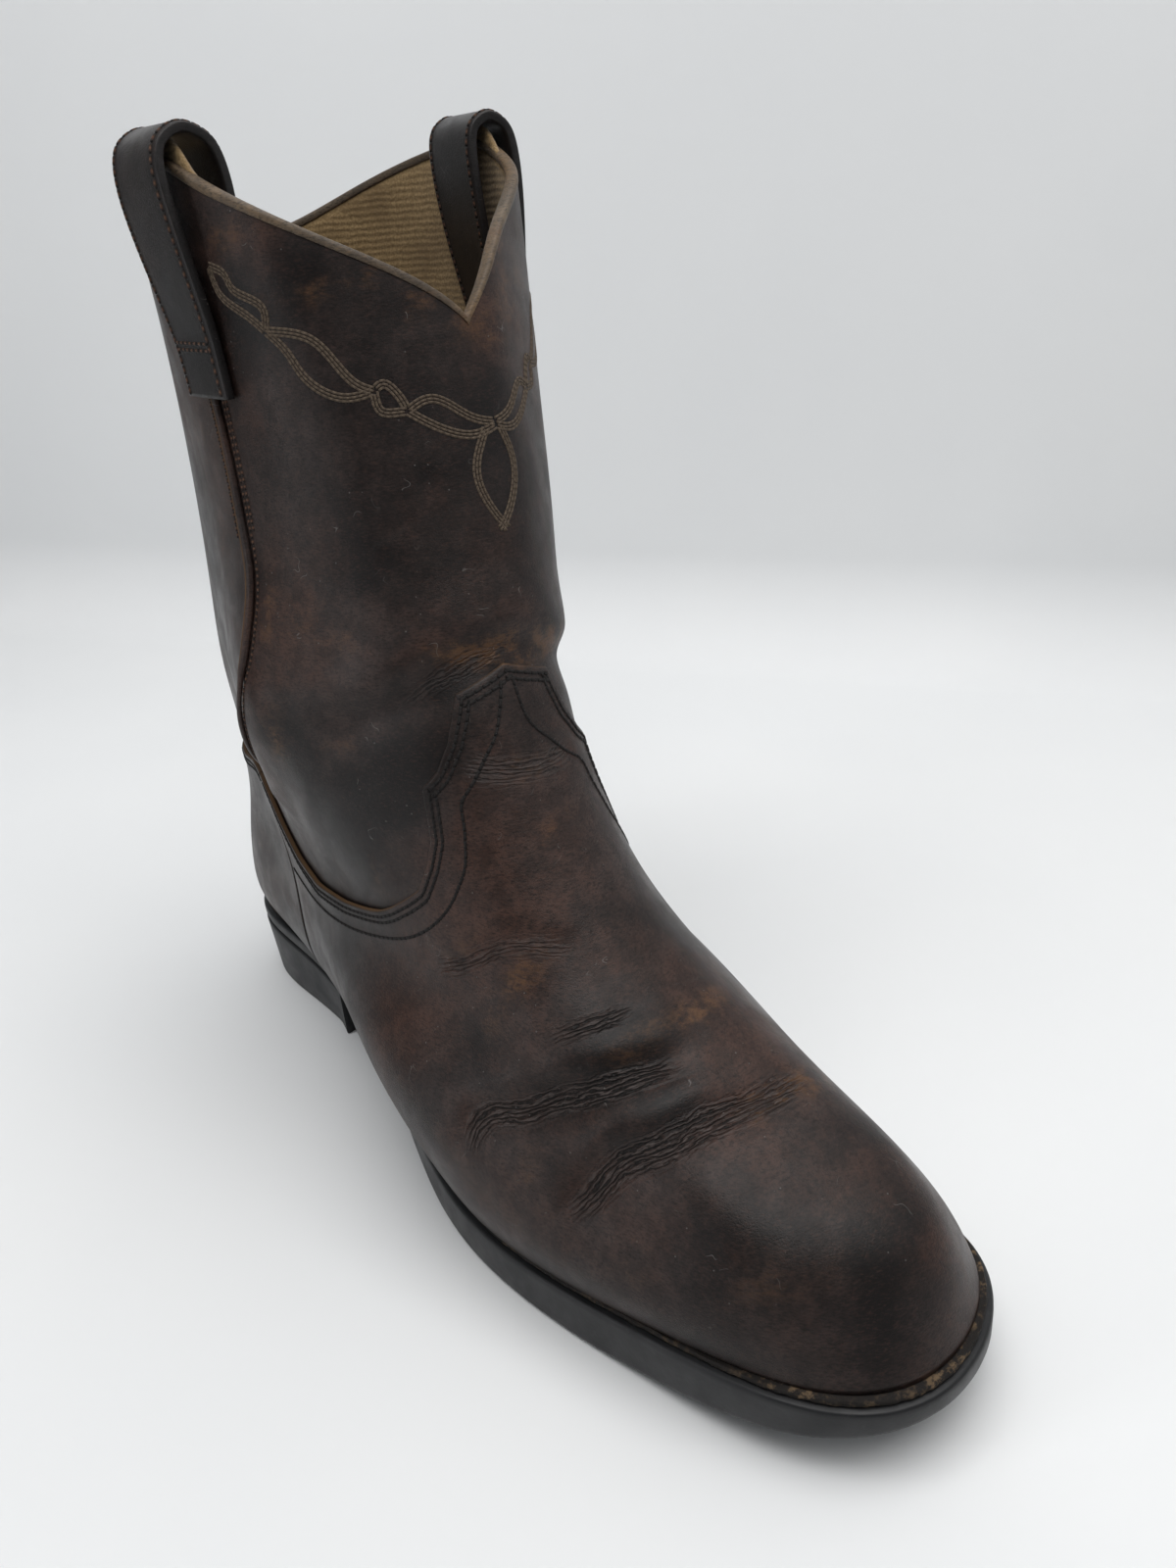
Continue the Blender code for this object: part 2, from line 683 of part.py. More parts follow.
def main():
    """Build every piece of the boot."""
    for item in list(bpy.data.objects):
        bpy.data.objects.remove(item, do_unlink=True)
    boot = new_collection("western_boot")
    cutters = new_collection("cutters")
    cutters.hide_render = True
    pieces = [
        make_upper(boot),
        make_vamp(boot, cutters),
        make_counter(boot, cutters),
        make_seam("side_seam_lateral", -1.0, boot, cutters),
        make_seam("side_seam_medial", 1.0, boot, cutters),
        make_binding(boot),
        make_insole(boot),
        make_midsole(boot),
        make_outsole(boot),
        make_heel(boot, cutters),
    ]
    for name, side, stand_out, stand_in, rise in STRAPS:
        pieces.append(make_strap(name, side, stand_out, stand_in, rise, boot))
    for piece in pieces:
        paint(piece)


main()
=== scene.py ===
# Looks of a right western boot: leather, lining, stitching, rubber sole, studio and camera.
# Tables are in millimetres and degrees. Blender is in metres, +Z up, toe toward -Y, little toe -X.

import bpy
import math
import numpy as np
from mathutils import Matrix


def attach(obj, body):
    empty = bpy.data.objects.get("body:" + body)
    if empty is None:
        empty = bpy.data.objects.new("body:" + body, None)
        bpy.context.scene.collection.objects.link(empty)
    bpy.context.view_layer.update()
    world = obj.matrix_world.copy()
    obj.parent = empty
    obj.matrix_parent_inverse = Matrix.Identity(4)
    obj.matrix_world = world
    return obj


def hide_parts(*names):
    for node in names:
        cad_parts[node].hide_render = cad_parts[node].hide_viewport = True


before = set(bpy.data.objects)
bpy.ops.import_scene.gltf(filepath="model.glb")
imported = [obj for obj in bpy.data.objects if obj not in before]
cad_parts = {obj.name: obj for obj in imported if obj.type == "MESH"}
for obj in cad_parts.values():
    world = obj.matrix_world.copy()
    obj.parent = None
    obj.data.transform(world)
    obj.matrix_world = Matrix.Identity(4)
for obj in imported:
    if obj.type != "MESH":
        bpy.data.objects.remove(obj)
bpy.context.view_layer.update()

MM = 0.001
SEED = 11

# The boot's own sizes, as in its solids
CENTRE_T = 142.0
CENTRE_X = 0.3
WALL = 2.4
GAP = 0.3
OVERLAY = 1.3
COLLAR_PEAK = 247.0
COLLAR_FRONT = 211.5
COLLAR_BACK = 229.0
COLLAR_TIP = 2.2
TIP_SPREAD = 13.0
MIDSOLE = 1.4
MIDSOLE_RECESS = 1.4
SOLE_AT_HEEL = 5.0
BREAST_T = 73.0
BREAST_HOLLOW = 5.0
BREAST_RADIUS = 90.0
HEEL_TAPER = 1.6
SEAM_ANGLE = 76.0
SEAM_HALF = 1.4
STRAP_THICK = 2.6
STRAP_LEVEL = 245.6
STRAP_TOP_HALF = 12.5
STRAP_TAB_HALF = 9.0
WING_END = 116.0
PIECE_GAP = 0.7
CONTROL_POINTS = 14

# Fineness of the visible meshes
UPPER_COLUMNS = 320
LINING_COLUMNS = 180
COLLAR_COLUMNS = 300
SOLE_COLUMNS = 360
STRAP_STEPS = 120
SEAM_STEPS = 120
INNER_ROWS = 60
UPPER_ROWS = 185
LINING_ROWS = 110
VAMP_COLUMNS = 285
VAMP_ROWS = 275
COUNTER_COLUMNS = 150
COUNTER_ROWS = 90
STRAP_ROUND = 56
FOLD_STEPS = 90
STITCH_ROUND = 6

# Layers and trim that only the looks have
LEATHER = 1.2
LINING_GAP = 0.15
TUFT_SPREAD = 12.0
STRAP_INSET = 1.9
PENDANT_SHIFT = 1.2

# One row per ring of the upper, feather first: ring ends, sideways shifts, share of the foot's
# curve, sag of the sides, then half widths from front to back.
RING_ENDS = ("back_t", "back_z", "front_t", "front_z")
RING_WIDTHS = ("toe", "fore", "joint", "waist", "heel", "seat")
RING_COLUMNS = RING_ENDS + ("front_x", "mid_x", "camber", "dip") + RING_WIDTHS
RINGS = (
    (3.4, 28.9, 279.4, 20.7, 3, 1.2, 1, 10, 24.4, 34.6, 38.5, 30, 28, 27),
    (4.6, 38.2, 276.4, 28.1, 6.8, 0.2, 1, 8.3, 23.6, 37.3, 41, 34.6, 33, 27.6),
    (6.8, 48.4, 271.9, 36.8, 8.8, -0.3, 0.9, 6.1, 21.5, 34.2, 43.5, 37.6, 34.4, 27.3),
    (10.2, 59.5, 262.6, 45.4, 8, -0.4, 0.8, 3.5, 19, 29.6, 43, 38.7, 33.6, 26.8),
    (13.8, 70.5, 240.8, 53.4, 5.5, -0.4, 0.6, 1.7, 17.4, 28.2, 37.6, 37.3, 32.2, 25.6),
    (17.4, 81.6, 216.2, 63.3, 2.8, -1.8, 0.4, 0, 17.2, 27.3, 33.6, 36, 30.2, 23.8),
    (20, 93.6, 192.2, 79.6, 0, -4.1, 0.2, 0, 16, 27, 34.5, 34.8, 28.6, 22.2),
    (21.5, 109, 173.3, 102.2, -1.8, -6.1, 0, 0, 16, 28.2, 37.6, 34.7, 28, 21.1),
    (21.4, 129.1, 160.6, 127.1, -1.8, -5.6, 0, 0, 17.4, 30.5, 41.8, 35.8, 29, 20),
    (20.8, 159.6, 151.3, 158.7, 0.6, -0.8, 0, 0, 17.2, 31.6, 40.4, 37.6, 31.4, 18.6),
    (19.9, 193.6, 141.4, 193.6, 3.1, 2.4, 0, 0, 18.3, 33.3, 40, 39.2, 32.2, 17.6),
    (18.5, 231.1, 131.9, 231.1, 5.2, 3.4, 0, 0, 20.8, 36.8, 41.2, 41, 31.2, 16.6),
    (17.4, 268, 124, 268, 6.6, 3.7, 0, 0, 22.4, 39, 41.8, 42, 30.6, 16),
)

# How far the sole stands out past the upper's lower edge: angle from the toe, margin.
MARGINS = (
    (0, 4.6), (30, 4.3), (60, 3), (90, 2.2), (115, 2), (140, 3), (180, 3.5),
)

# Underside of the sole in front of the heel: t, height.
SOLE_BOTTOM = (
    (73, 17), (100, 12), (125, 6.8), (146, 1.7), (160, 0), (210, 0), (238, 2.6), (260, 6.8),
    (286, 13.2),
)

# Upper edges of the vamp and counter, and the path of a side seam: angle from the toe, ring.
VAMP_EDGE = (
    (0, 8.42), (17.5, 8.27), (19, 8.12), (22, 7.92), (28, 7.68), (34.5, 7.52), (36, 7.32), (39, 7),
    (43.5, 6.74), (50, 6.42), (60, 6.1), (70, 5.75), (86, 5.25), (97, 5), (104, 5.15), (109, 5.6),
    (113, 6.05), (116, 6.2),
)
COUNTER_EDGE = (
    (116, 6.2), (125, 6.1), (140, 5.75), (160, 5.65), (172, 5.9), (180, 6.05),
)
SEAM_PATH = (
    (76, 10.17), (75.5, 9.43), (74, 9), (76, 8.6), (80, 8.15), (86, 7.6), (99, 6.9), (111, 6.42),
)

# Path of a pull strap from the outside tab over the collar: drop, rise, rest, out, in, width.
STRAP_PATH = (
    (-47, 0, 1.65, 0, 0, 0), (-40, 0, 1.65, 0, 0, 0.1), (-32, 0, 1.5, 0.1, 0, 0.3),
    (-22, 0, 1, 0.45, 0, 0.6), (-11, 0, 0.5, 0.8, 0, 0.9), (-2, 0, 0, 1, 0, 1),
    (0, 0.5, 0, 0.93, 0.07, 1), (0, 0.85, 0, 0.75, 0.25, 1), (0, 1, 0, 0.5, 0.5, 1),
    (0, 0.85, 0, 0.25, 0.75, 1), (0, 0.5, 0, 0.07, 0.93, 1), (-3, 0, 0, 0, 1, 1),
    (-14, 0, -0.7, 0, 0.85, 0.9), (-26, 0, -2.6, 0, 0.45, 0.6), (-40, 0, -4.25, 0, 0, 0.3),
    (-52, 0, -4.25, 0, 0, 0),
)

# Each pull strap: node, side, how far its loop stands out and in, how far it rises.
STRAPS = (
    ("pull_strap_lateral", -1, 4.6, -10.5, 8.5),
    ("pull_strap_medial", 1, 3.4, -7.8, 7.4),
)

# Section of the collar's rolled edge: offset out from the upper, height above the collar.
EDGE_SECTION = (
    (0.05, -1.2), (0.32, -1.2), (0.36, 0.3), (-0.3, 1), (-2.1, 1), (-2.8, 0.3), (-2.75, -1.2),
    (-2.45, -1.2), (-2.3, 0), (-0.1, 0),
)

# Where the leather folds: angle and ring along each fold, from the little-toe side inward.
FOLD_PATHS = {
    "ball_outer": (
        (-68, 2.2), (-66.5, 2.95), (-62, 3.28), (-49.5, 3.98), (-33, 4.58), (-18.5, 4.85), (-4, 4.95),
    ),
    "ball_inner": (
        (-57, 1.75), (-52.5, 2.55), (-43.5, 3.4), (-26.5, 4.05), (-12.5, 4.33), (8, 4.33), (27.5, 3.93),
    ),
    "instep_low": ((-46, 4.75), (-36, 5.08), (-24.5, 5.33), (-15, 5.43), (-6, 5.48), (8, 5.36)),
    "instep_high": ((-62, 5.25), (-54.5, 5.5), (-36, 5.98), (-21.5, 6.1), (-8, 6.1)),
    "tongue": ((-24, 7.74), (-8, 7.66), (11, 7.58), (20, 7.6)),
    "ankle": ((-80, 7.75), (-56, 7.97), (-40, 8.15), (-21, 8.4), (0, 8.5), (20, 8.36), (42, 8.14),
              (65, 8), (85, 7.9)),
    "ankle_side": ((-70, 8.35), (-79, 7.9), (-87, 7.35), (-93, 6.85), (-99, 6.25)),
}

# Soft troughs (depth above 0) and ridges (below 0) along those paths.
# Columns: path, offset toward the ankle, depth, half widths before and after it, start and end on the path.
FOLDS = (
    ("ball_outer", 8, -1.7, 4.6, 10, 0.2, 1.05),
    ("ball_outer", 1, 1.5, 6, 4.2, 0.05, 1.02),
    ("ball_inner", 8, -1.3, 4.6, 7, 0.14, 0.75),
    ("ball_inner", 1.2, 1.5, 6, 4.2, 0.02, 0.92),
    ("instep_low", 0.5, 0.45, 3.2, 3.2, 0.05, 0.9),
    ("instep_high", 5, -0.3, 5, 7, 0.05, 0.95),
    ("instep_high", 0.5, 0.4, 3, 3, 0.05, 1),
    ("tongue", 0, 0.3, 2.6, 2.6, 0, 1),
    ("ankle", 0, 1.8, 7, 3.8, 0.04, 1),
    ("ankle", 8, -1.2, 4.5, 9, 0.08, 1),
    ("ankle_side", 0, -2, 6, 9, 0, 1),
    ("ankle_side", -11, 1, 6, 6, 0.1, 1),
)

# Groups of fine wrinkles along those paths.
# Columns: path, count, offsets from and to, depth, half width; then the whole band's half width, start, end
# and strength.
WRINKLES = (
    ("ball_outer", 5, -3, 2.8, 0.18, 0.6, 2.7, 0, 1, 1),
    ("ball_inner", 6, -3.4, 3.4, 0.18, 0.6, 3.3, 0, 1, 1),
    ("instep_low", 3, -2, 2.4, 0.1, 0.6, 2.4, 0.12, 0.78, 0.62),
    ("instep_high", 4, -3, 3.4, 0.06, 0.6, 3, 0, 1, 0.42),
    ("tongue", 4, -3.6, 3.2, 0.06, 0.55, 3.8, 0, 1, 0.45),
    ("ankle", 4, -3, 2.6, 0.1, 0.6, 3.2, 0.16, 0.66, 0.42),
)

# Places where the dark finish is rubbed off, and at angle 26 partly a painted sheen: angle, ring, reach
# round and up, strength.
WORN_AND_SHEEN = (
    (-29.5, 10.72, 14, 4, 0.55), (-50, 11.05, 12, 4, 0.5), (-12, 10.62, 8, 5, 0.45),
    # The spot at angle 26 on the shaft's right front is partly a painted sheen.
    (4, 10.42, 9, 5, 0.6), (26, 10.6, 10, 18, 0.62), (-95.5, 9.9, 9, 7, 0.45), (-92, 9.1, 6, 9, 0.35),
    (-70, 8.78, 5, 9, 0.75), (-60, 8.75, 9, 7, 0.45), (-48.5, 8.62, 9, 5, 0.45),
    (-72, 7.75, 5, 9, 0.5), (-50, 7.85, 16, 4, 0.35), (-4, 8.51, 13, 3.2, 1.5),
    (10, 8.49, 12, 3.2, 1.7), (23, 8.44, 8, 3, 1.7), (3, 7.62, 10, 4, 0.5), (4, 7.05, 8, 5, 0.5),
    (-37, 5.62, 8, 6, 0.55), (-52, 5.62, 9, 4, 0.35), (7, 5.26, 12, 4.5, 0.75),
    (-14, 5.22, 10, 5, 0.35), (-1, 4.36, 8, 4.5, 0.7), (18, 4.15, 10, 4.5, 0.85),
    (-62, 2.3, 6, 10, 0.4), (-48, 1.75, 10, 6, 0.35), (-26, 2.3, 14, 6, 0.3), (-66, 6.2, 5, 9, 0.3),
)

# Broad zones of the leather's colour: angle, ring, reach round and up, brown (above 0) or black (below 0).
# Most are the leather's own tone; the small black spots in the last rows are painted shade, and the strong
# brown zone at angle 28 is partly a painted sheen.
TONE_AND_PAINTED_LIGHT_ZONES = (
    # The zone at angle 28 on the shaft's right front is partly a painted sheen.
    (-45, 11.02, 34, 5, 0.6), (6, 10.48, 10, 6, 0.7), (28, 10.6, 14, 30, 1.3),
    (-42, 10.6, 26, 10, -0.4), (-18, 10.2, 22, 12, -0.45), (-20, 9.4, 26, 22, -0.4),
    (-55, 9.6, 16, 24, 0.45), (-85, 9.3, 10, 28, 0.35), (-62, 8.4, 22, 14, 0.95),
    (-25, 8.7, 16, 8, 0.35), (-55, 7.1, 22, 15, -0.95), (-88, 7.3, 10, 18, 0.55),
    (-40, 7.6, 12, 9, -0.6), (-8, 7.4, 18, 18, 0.85), (-25, 6.2, 26, 14, 0.75),
    (-70, 4.6, 20, 14, 0.25), (-30, 5.1, 26, 9, 0.55), (-38, 3.4, 22, 12, 0.75),
    (8, 4.7, 24, 12, 0.55), (-14, 3.1, 24, 10, -0.1), (-6, 1.3, 22, 9, -0.5), (-40, 1.4, 16, 10, 0.35),
    # Painted shade: the shadow under the shaft's fold over the tongue's edge, and the shaded slopes above
    # the two wrinkle bands at the ball.
    (-10, 8.42, 8, 2.2, -1), (-19, 8.3, 7, 2.4, -1), (-38, 4.74, 12, 5, -0.6),
    (-28, 4.82, 9, 4.5, -0.7), (-27, 4.24, 8, 4.5, -0.5), (-17, 4.46, 8, 4, -0.6),
)

# How bare the vamp's cut rim is: angle from the toe, strength.
BARE_RIM = (
    (0, 0.45), (15, 0.3), (22, 0.15), (34, 0.2), (44, 0.45), (56, 0.8), (100, 0.9), (116, 0.5),
)

# Single stitch row across the vamp, well inside its edge: angle from the toe, ring.
INNER_ROW = (
    (1.8, 8.33), (3, 8.18), (5, 8), (8, 7.87), (12, 7.75), (16.5, 7.61), (21, 7.49), (24.3, 7.38),
    (26, 7.22), (28.5, 7.03), (32, 6.8), (36.5, 6.6), (42, 6.37), (52, 6.01), (67, 5.48), (80, 4.98),
    (90.5, 4.62), (103, 4.3), (115, 4.15),
)

# Chain-stitched ornament below the collar, one side of the front: angle from its middle, ring.
ORNAMENT_MIDDLE = 4.5
ORNAMENT = (
    ((0, 9.9), (-9, 9.96), (-17, 10.08), (-24, 10.03)),
    ((0, 9.88), (-9, 9.85), (-17.5, 9.92), (-24, 10.03)),
    ((-24, 10.03), (-24.8, 10.1), (-27.4, 10.19), (-30.5, 10.16)),
    ((-24, 10.03), (-26.8, 10.03), (-30.2, 10.05), (-30.5, 10.16)),
    ((-30.5, 10.16), (-35.5, 10.24), (-40, 10.42), (-46, 10.5), (-54, 10.52)),
    ((-30.5, 10.16), (-39, 10.14), (-46.5, 10.25), (-49.5, 10.4), (-54, 10.52)),
    ((-54, 10.52), (-53, 10.66), (-60, 10.74), (-62, 10.83), (-67.5, 10.88)),
    ((-54, 10.52), (-58, 10.6), (-62.5, 10.66), (-66.5, 10.74), (-67.5, 10.88)),
)
PENDANT = ((1.5, 9.88), (6.2, 9.68), (5.4, 9.5), (1.2, 9.35), (-3.2, 9.25))

# Thread sizes: pitch, stitch length, thread radius.
FINE_STITCH = (2.15, 1.95, 0.47)
SEAM_STITCH = (1.6, 1.4, 0.43)
STRAP_STITCH = (2.3, 2.05, 0.4)
CHAIN_STITCH = (1.5, 1.48, 0.34)

# Cross rows of stitching on a strap's tab: heights below the strap's level.
STRAP_BOX = (-35, -36.6)

# Photo camera: place in millimetres, turn in degrees, focal length in pixels of the frame
CAMERA_PLACE = (-139.4, -251.4, 236.6)
CAMERA_YAW = 33.06
CAMERA_PITCH = 25.43
CAMERA_ROLL = -5.03
CAMERA_FOCAL = 1287.8
FRAME_HEIGHT = 1600.0
SENSOR = 36.0
BACKDROP_YAW = 56.0

# Lights: name, place and aim in metres, width, height, power, colour.
LIGHTS = (
    ("overhead", (0.0, -0.25, 1.20), (0.0, 0.0, 0.1), 1.2, 1.2, 15.5, (1.0, 0.99, 0.98)),
    ("right", (0.55, -0.85, 0.60), (0.0, 0.0, 0.12), 0.6, 0.6, 0.9, (0.98, 0.99, 1.0)),
    ("left", (-0.80, 0.16, 0.30), (0.0, 0.0, 0.16), 0.20, 0.40, 1.15, (0.97, 0.98, 1.0)),
    ("back", (-0.50, 0.25, 0.95), (0.0, 0.65, 0.30), 0.5, 0.5, 1.5, (0.98, 0.99, 1.0)),
)


# The surface of the upper


def smooth(x):
    """Ease from 0 to 1."""
    x = np.clip(x, 0.0, 1.0)
    return x * x * (3.0 - 2.0 * x)


def camber(t):
    """Sideways curve of the foot's centre line, + toward the big-toe side."""
    return -4.4 * smooth((t - 65.0) / 105.0) + 9.6 * smooth((t - 161.0) / 113.0)


def dip_shape(s):
    """How the lower edge sags between its ends; s is 0 at the back and 1 at the front."""
    return np.sin(np.pi * np.clip(s, 0.0, 1.0) ** 1.4) ** 1.5


def column(name):
    """One column of the ring table."""
    place = RING_COLUMNS.index(name)
    return np.array([row[place] for row in RINGS])


def control_net():
    """Control points of the upper, ring by ring, as x, t, z."""
    turn = 2.0 * np.pi * np.arange(CONTROL_POINTS) / CONTROL_POINTS
    s = 0.5 + 0.5 * np.cos(turn)
    half = CONTROL_POINTS // 2
    net = np.zeros((len(RINGS), CONTROL_POINTS, 3))
    back_t, back_z, front_t, front_z = (column(name)[:, None] for name in RING_ENDS)
    t = back_t + (front_t - back_t) * s[None]
    net[:, :, 1] = t
    net[:, :, 2] = back_z + (front_z - back_z) * s[None] - column("dip")[:, None] * dip_shape(s)[None]
    bend = column("camber")[:, None] * camber(t)
    for place, name in enumerate(RING_WIDTHS):
        net[:, 1 + place, 0] = column(name) + bend[:, 1 + place]
        net[:, CONTROL_POINTS - 1 - place, 0] = bend[:, CONTROL_POINTS - 1 - place] - column(name)
    net[:, 0, 0] = column("front_x")
    net[:, half, 0] = 0.0
    net[:, :, 0] += column("mid_x")[:, None] - CENTRE_X
    return net


def hermite(part):
    """Shares of a cubic's start, start slope, end and end slope at a place between them."""
    square = part**2
    cube = part**3
    start = 2.0 * cube - 3.0 * square + 1.0
    return start, cube - 2.0 * square + part, 3.0 * square - 2.0 * cube, cube - square


def spline_weights(count, place, closed):
    """Weights of a smooth curve through evenly spaced values, one row per place."""
    rate = np.zeros((count, count))
    step = np.zeros((count, count))
    for i in range(count):
        before = (i - 1) % count
        after = (i + 1) % count
        if closed or 0 < i < count - 1:
            rate[i, i] = 4.0
            rate[i, before] = 1.0
            rate[i, after] = 1.0
            step[i, before] = -3.0
            step[i, after] = 3.0
    if not closed:
        rate[0, 0:2] = (2.0, 1.0)
        rate[-1, -2:] = (1.0, 2.0)
        step[0, 0:2] = (-3.0, 3.0)
        step[-1, -2:] = (-3.0, 3.0)
    slope = np.linalg.solve(rate, step)
    place = np.asarray(place, float)
    if closed:
        place = place % count
        low = np.floor(place).astype(int) % count
        high = (low + 1) % count
        part = place - np.floor(place)
    else:
        place = np.clip(place, 0.0, count - 1.0)
        low = np.minimum(np.floor(place).astype(int), count - 2)
        high = low + 1
        part = place - low
    start, start_slope, end, end_slope = hermite(part[:, None])
    keep = np.eye(count)
    weights = start * keep[low] + start_slope * slope[low]
    return weights + end * keep[high] + end_slope * slope[high]


NET = control_net()


def skin(angle, ring):
    """Points of the upper's outside for matching arrays of angle (degrees) and ring number."""
    shape = np.shape(angle)
    turn = np.ravel(angle) / 360.0 * CONTROL_POINTS
    around = spline_weights(CONTROL_POINTS, turn, True)
    along = spline_weights(len(RINGS), np.ravel(ring), False)
    sections = (along @ NET.reshape(len(RINGS), -1)).reshape(-1, CONTROL_POINTS, 3)
    flat = np.sum(sections * around[:, :, None], 1)
    points = np.stack([flat[:, 0], CENTRE_T - flat[:, 1], flat[:, 2]], 1)
    return points.reshape(shape + (3,))


def skin_slopes(angle, ring):
    """How the skin moves per degree and per ring."""
    across = skin(angle + 0.5, ring) - skin(angle - 0.5, ring)
    high = np.minimum(ring + 0.03, 12.0)
    low = np.maximum(ring - 0.03, 0.0)
    up = (skin(angle, high) - skin(angle, low)) / (high - low)[..., None]
    return across, up


def unit(vectors):
    """Vectors of length 1."""
    return vectors / np.maximum(np.linalg.norm(vectors, axis=-1, keepdims=True), 1e-9)


def skin_normal(angle, ring):
    """Outward direction of the upper's outside."""
    across, up = skin_slopes(angle, ring)
    return unit(np.cross(across, up))


def collar_height(angle):
    """Height of the collar edge: a V in front, tips under the straps, a soft dip behind."""
    turn = np.abs((np.asarray(angle, float) + 180.0) % 360.0 - 180.0)
    rise = np.sin(np.clip(turn / 90.0, 0.0, 1.0) * np.pi / 2.0) ** 0.85
    fall = 0.5 - 0.5 * np.cos(np.pi * np.clip((turn - 90.0) / 90.0, 0.0, 1.0))
    tip = np.exp(-(((turn - SEAM_ANGLE) / TIP_SPREAD) ** 2))
    side = COLLAR_FRONT + (COLLAR_PEAK - COLLAR_FRONT) * rise + COLLAR_TIP * tip
    return side - (COLLAR_PEAK - COLLAR_BACK) * fall


def ring_at_height(angle, height):
    """Ring number where the shaft at each angle reaches a height."""
    shape = np.shape(angle)
    steps = np.linspace(6.0, 12.0, 121)
    angles = np.ravel(angle)
    heights = skin(*np.broadcast_arrays(angles[:, None], steps[None]))[..., 2]
    wanted = np.ravel(height)
    found = [np.interp(wanted[i], heights[i], steps) for i in range(len(angles))]
    return np.array(found).reshape(shape)


def collar_ring(angle):
    """Ring number of the collar edge at each angle."""
    return ring_at_height(angle, collar_height(angle))


def full_turn(count):
    """Evenly spaced angles round the boot."""
    return 360.0 * np.arange(count) / count


def from_toe(angle):
    """Angle from the toe, alike on both sides, for angles from 0 to 360."""
    return 180.0 - np.abs(angle - 180.0)


def table_line(table, x):
    """Straight-line reading of a two-column table."""
    return np.interp(x, [row[0] for row in table], [row[1] for row in table])


def table_curve(table, x):
    """Smooth curve through a two-column table, without overshoot."""
    xs = np.array([row[0] for row in table])
    ys = np.array([row[1] for row in table])
    width = np.diff(xs)
    slope = np.diff(ys) / width
    rate = np.zeros(len(xs))
    rate[0] = slope[0]
    rate[-1] = slope[-1]
    for i in range(1, len(xs) - 1):
        if slope[i - 1] * slope[i] > 0.0:
            rate[i] = 2.0 * slope[i - 1] * slope[i] / (slope[i - 1] + slope[i])
    x = np.clip(np.asarray(x, float), xs[0], xs[-1])
    low = np.clip(np.searchsorted(xs, x, side="right") - 1, 0, len(xs) - 2)
    part = (x - xs[low]) / width[low]
    start, start_slope, end, end_slope = hermite(part)
    value = start * ys[low] + start_slope * width[low] * rate[low]
    return value + end * ys[low + 1] + end_slope * width[low] * rate[low + 1]


def smooth_path(points, count):
    """Evenly stepped points of a smooth curve through a short list."""
    steps = np.linspace(0.0, len(points) - 1.0, count)
    return spline_weights(len(points), steps, False) @ np.array(points)


# Folds, wrinkles, wear and painted light


def fold_place(base, path):
    """Which points lie near a fold, their place along it (0 to 1), distance across it, and its length."""
    line = smooth_path(path, FOLD_STEPS)
    middle = skin(line[:, 0], line[:, 1])
    run = unit(np.gradient(middle, axis=0))
    side = unit(np.cross(skin_normal(line[:, 0], line[:, 1]), run))
    length = np.sum(np.linalg.norm(np.diff(middle, axis=0), axis=1))
    reach = 32.0
    inside = np.all((base > middle.min(0) - reach) & (base < middle.max(0) + reach), axis=1)
    near = np.flatnonzero(inside)
    if len(near) == 0:
        return near, None, None, length
    apart = base[near][:, None] - middle[None]
    off = np.sum(apart**2, 2)
    nearest = off.min(1)
    weight = np.exp((nearest[:, None] - off) / 40.0)
    weight = weight / weight.sum(1)[:, None]
    place = np.linspace(0.0, 1.0, FOLD_STEPS)[None] + np.sum(apart * run[None], 2) / length
    along = np.sum(weight * place, 1)
    across = np.sum(weight * np.sum(apart * side[None], 2), 1)
    kept = nearest < reach**2
    return near[kept], along[kept], across[kept], length


def all_folds():
    """Troughs and ridges by path: offset, depth, widths before and after, start, end, wander, phase."""
    random = np.random.default_rng(SEED)
    folds = {}
    for path in FOLD_PATHS:
        folds[path] = []
    for path, offset, depth, before, after, start, end in FOLDS:
        folds[path].append((offset, depth, before, after, start, end, 0.0, 0.0))
    for path, count, first, last, depth, width, _, band_start, band_end, _ in WRINKLES:
        for place in np.linspace(first, last, count):
            offset = place + random.uniform(-0.3, 0.3)
            depth_here = depth * random.uniform(0.6, 1.2)
            start = band_start + random.uniform(-0.05, 0.20)
            end = band_end - random.uniform(-0.05, 0.28)
            phase = random.uniform(0.0, 6.28)
            folds[path].append((offset, depth_here, width, width, start, end, 0.35, phase))
    return folds


ALL_FOLDS = all_folds()
BANDS = {row[0]: row[-4:] for row in WRINKLES}


def relief(base):
    """Height of the folds over the plain skin, how strongly it is creased, and the place in the crease."""
    rise = np.zeros(len(base))
    crease = np.zeros(len(base))
    second = np.zeros(len(base))
    across_all = np.zeros(len(base))
    along_all = np.zeros(len(base))
    for path, folds in ALL_FOLDS.items():
        near, along, across, length = fold_place(base, FOLD_PATHS[path])
        if len(near) == 0:
            continue
        for offset, depth, before, after, start, end, wander, phase in folds:
            shift = wander * np.sin(9.0 * along + phase) + 0.4 * wander * np.sin(23.0 * along + 2.0 * phase)
            fade = smooth((along - start) / 0.16) * smooth((end - along) / 0.16)
            apart = across - offset - shift
            width = np.where(apart < 0.0, before, after)
            rise[near] -= depth * fade * np.exp(-((apart / width) ** 2))
        if path in BANDS:
            band, start, end, strength = BANDS[path]
            ends = smooth((along - start) / 0.26) * smooth((end - along) / 0.26)
            here = strength * ends * np.exp(-((across / band) ** 2))
            stronger = here > crease[near]
            across_all[near[stronger]] = across[stronger]
            along_all[near[stronger]] = along[stronger] * length
            second[near] = np.maximum(second[near], np.minimum(crease[near], here))
            crease[near] = np.maximum(crease[near], here)
    return rise, crease - second, across_all, along_all


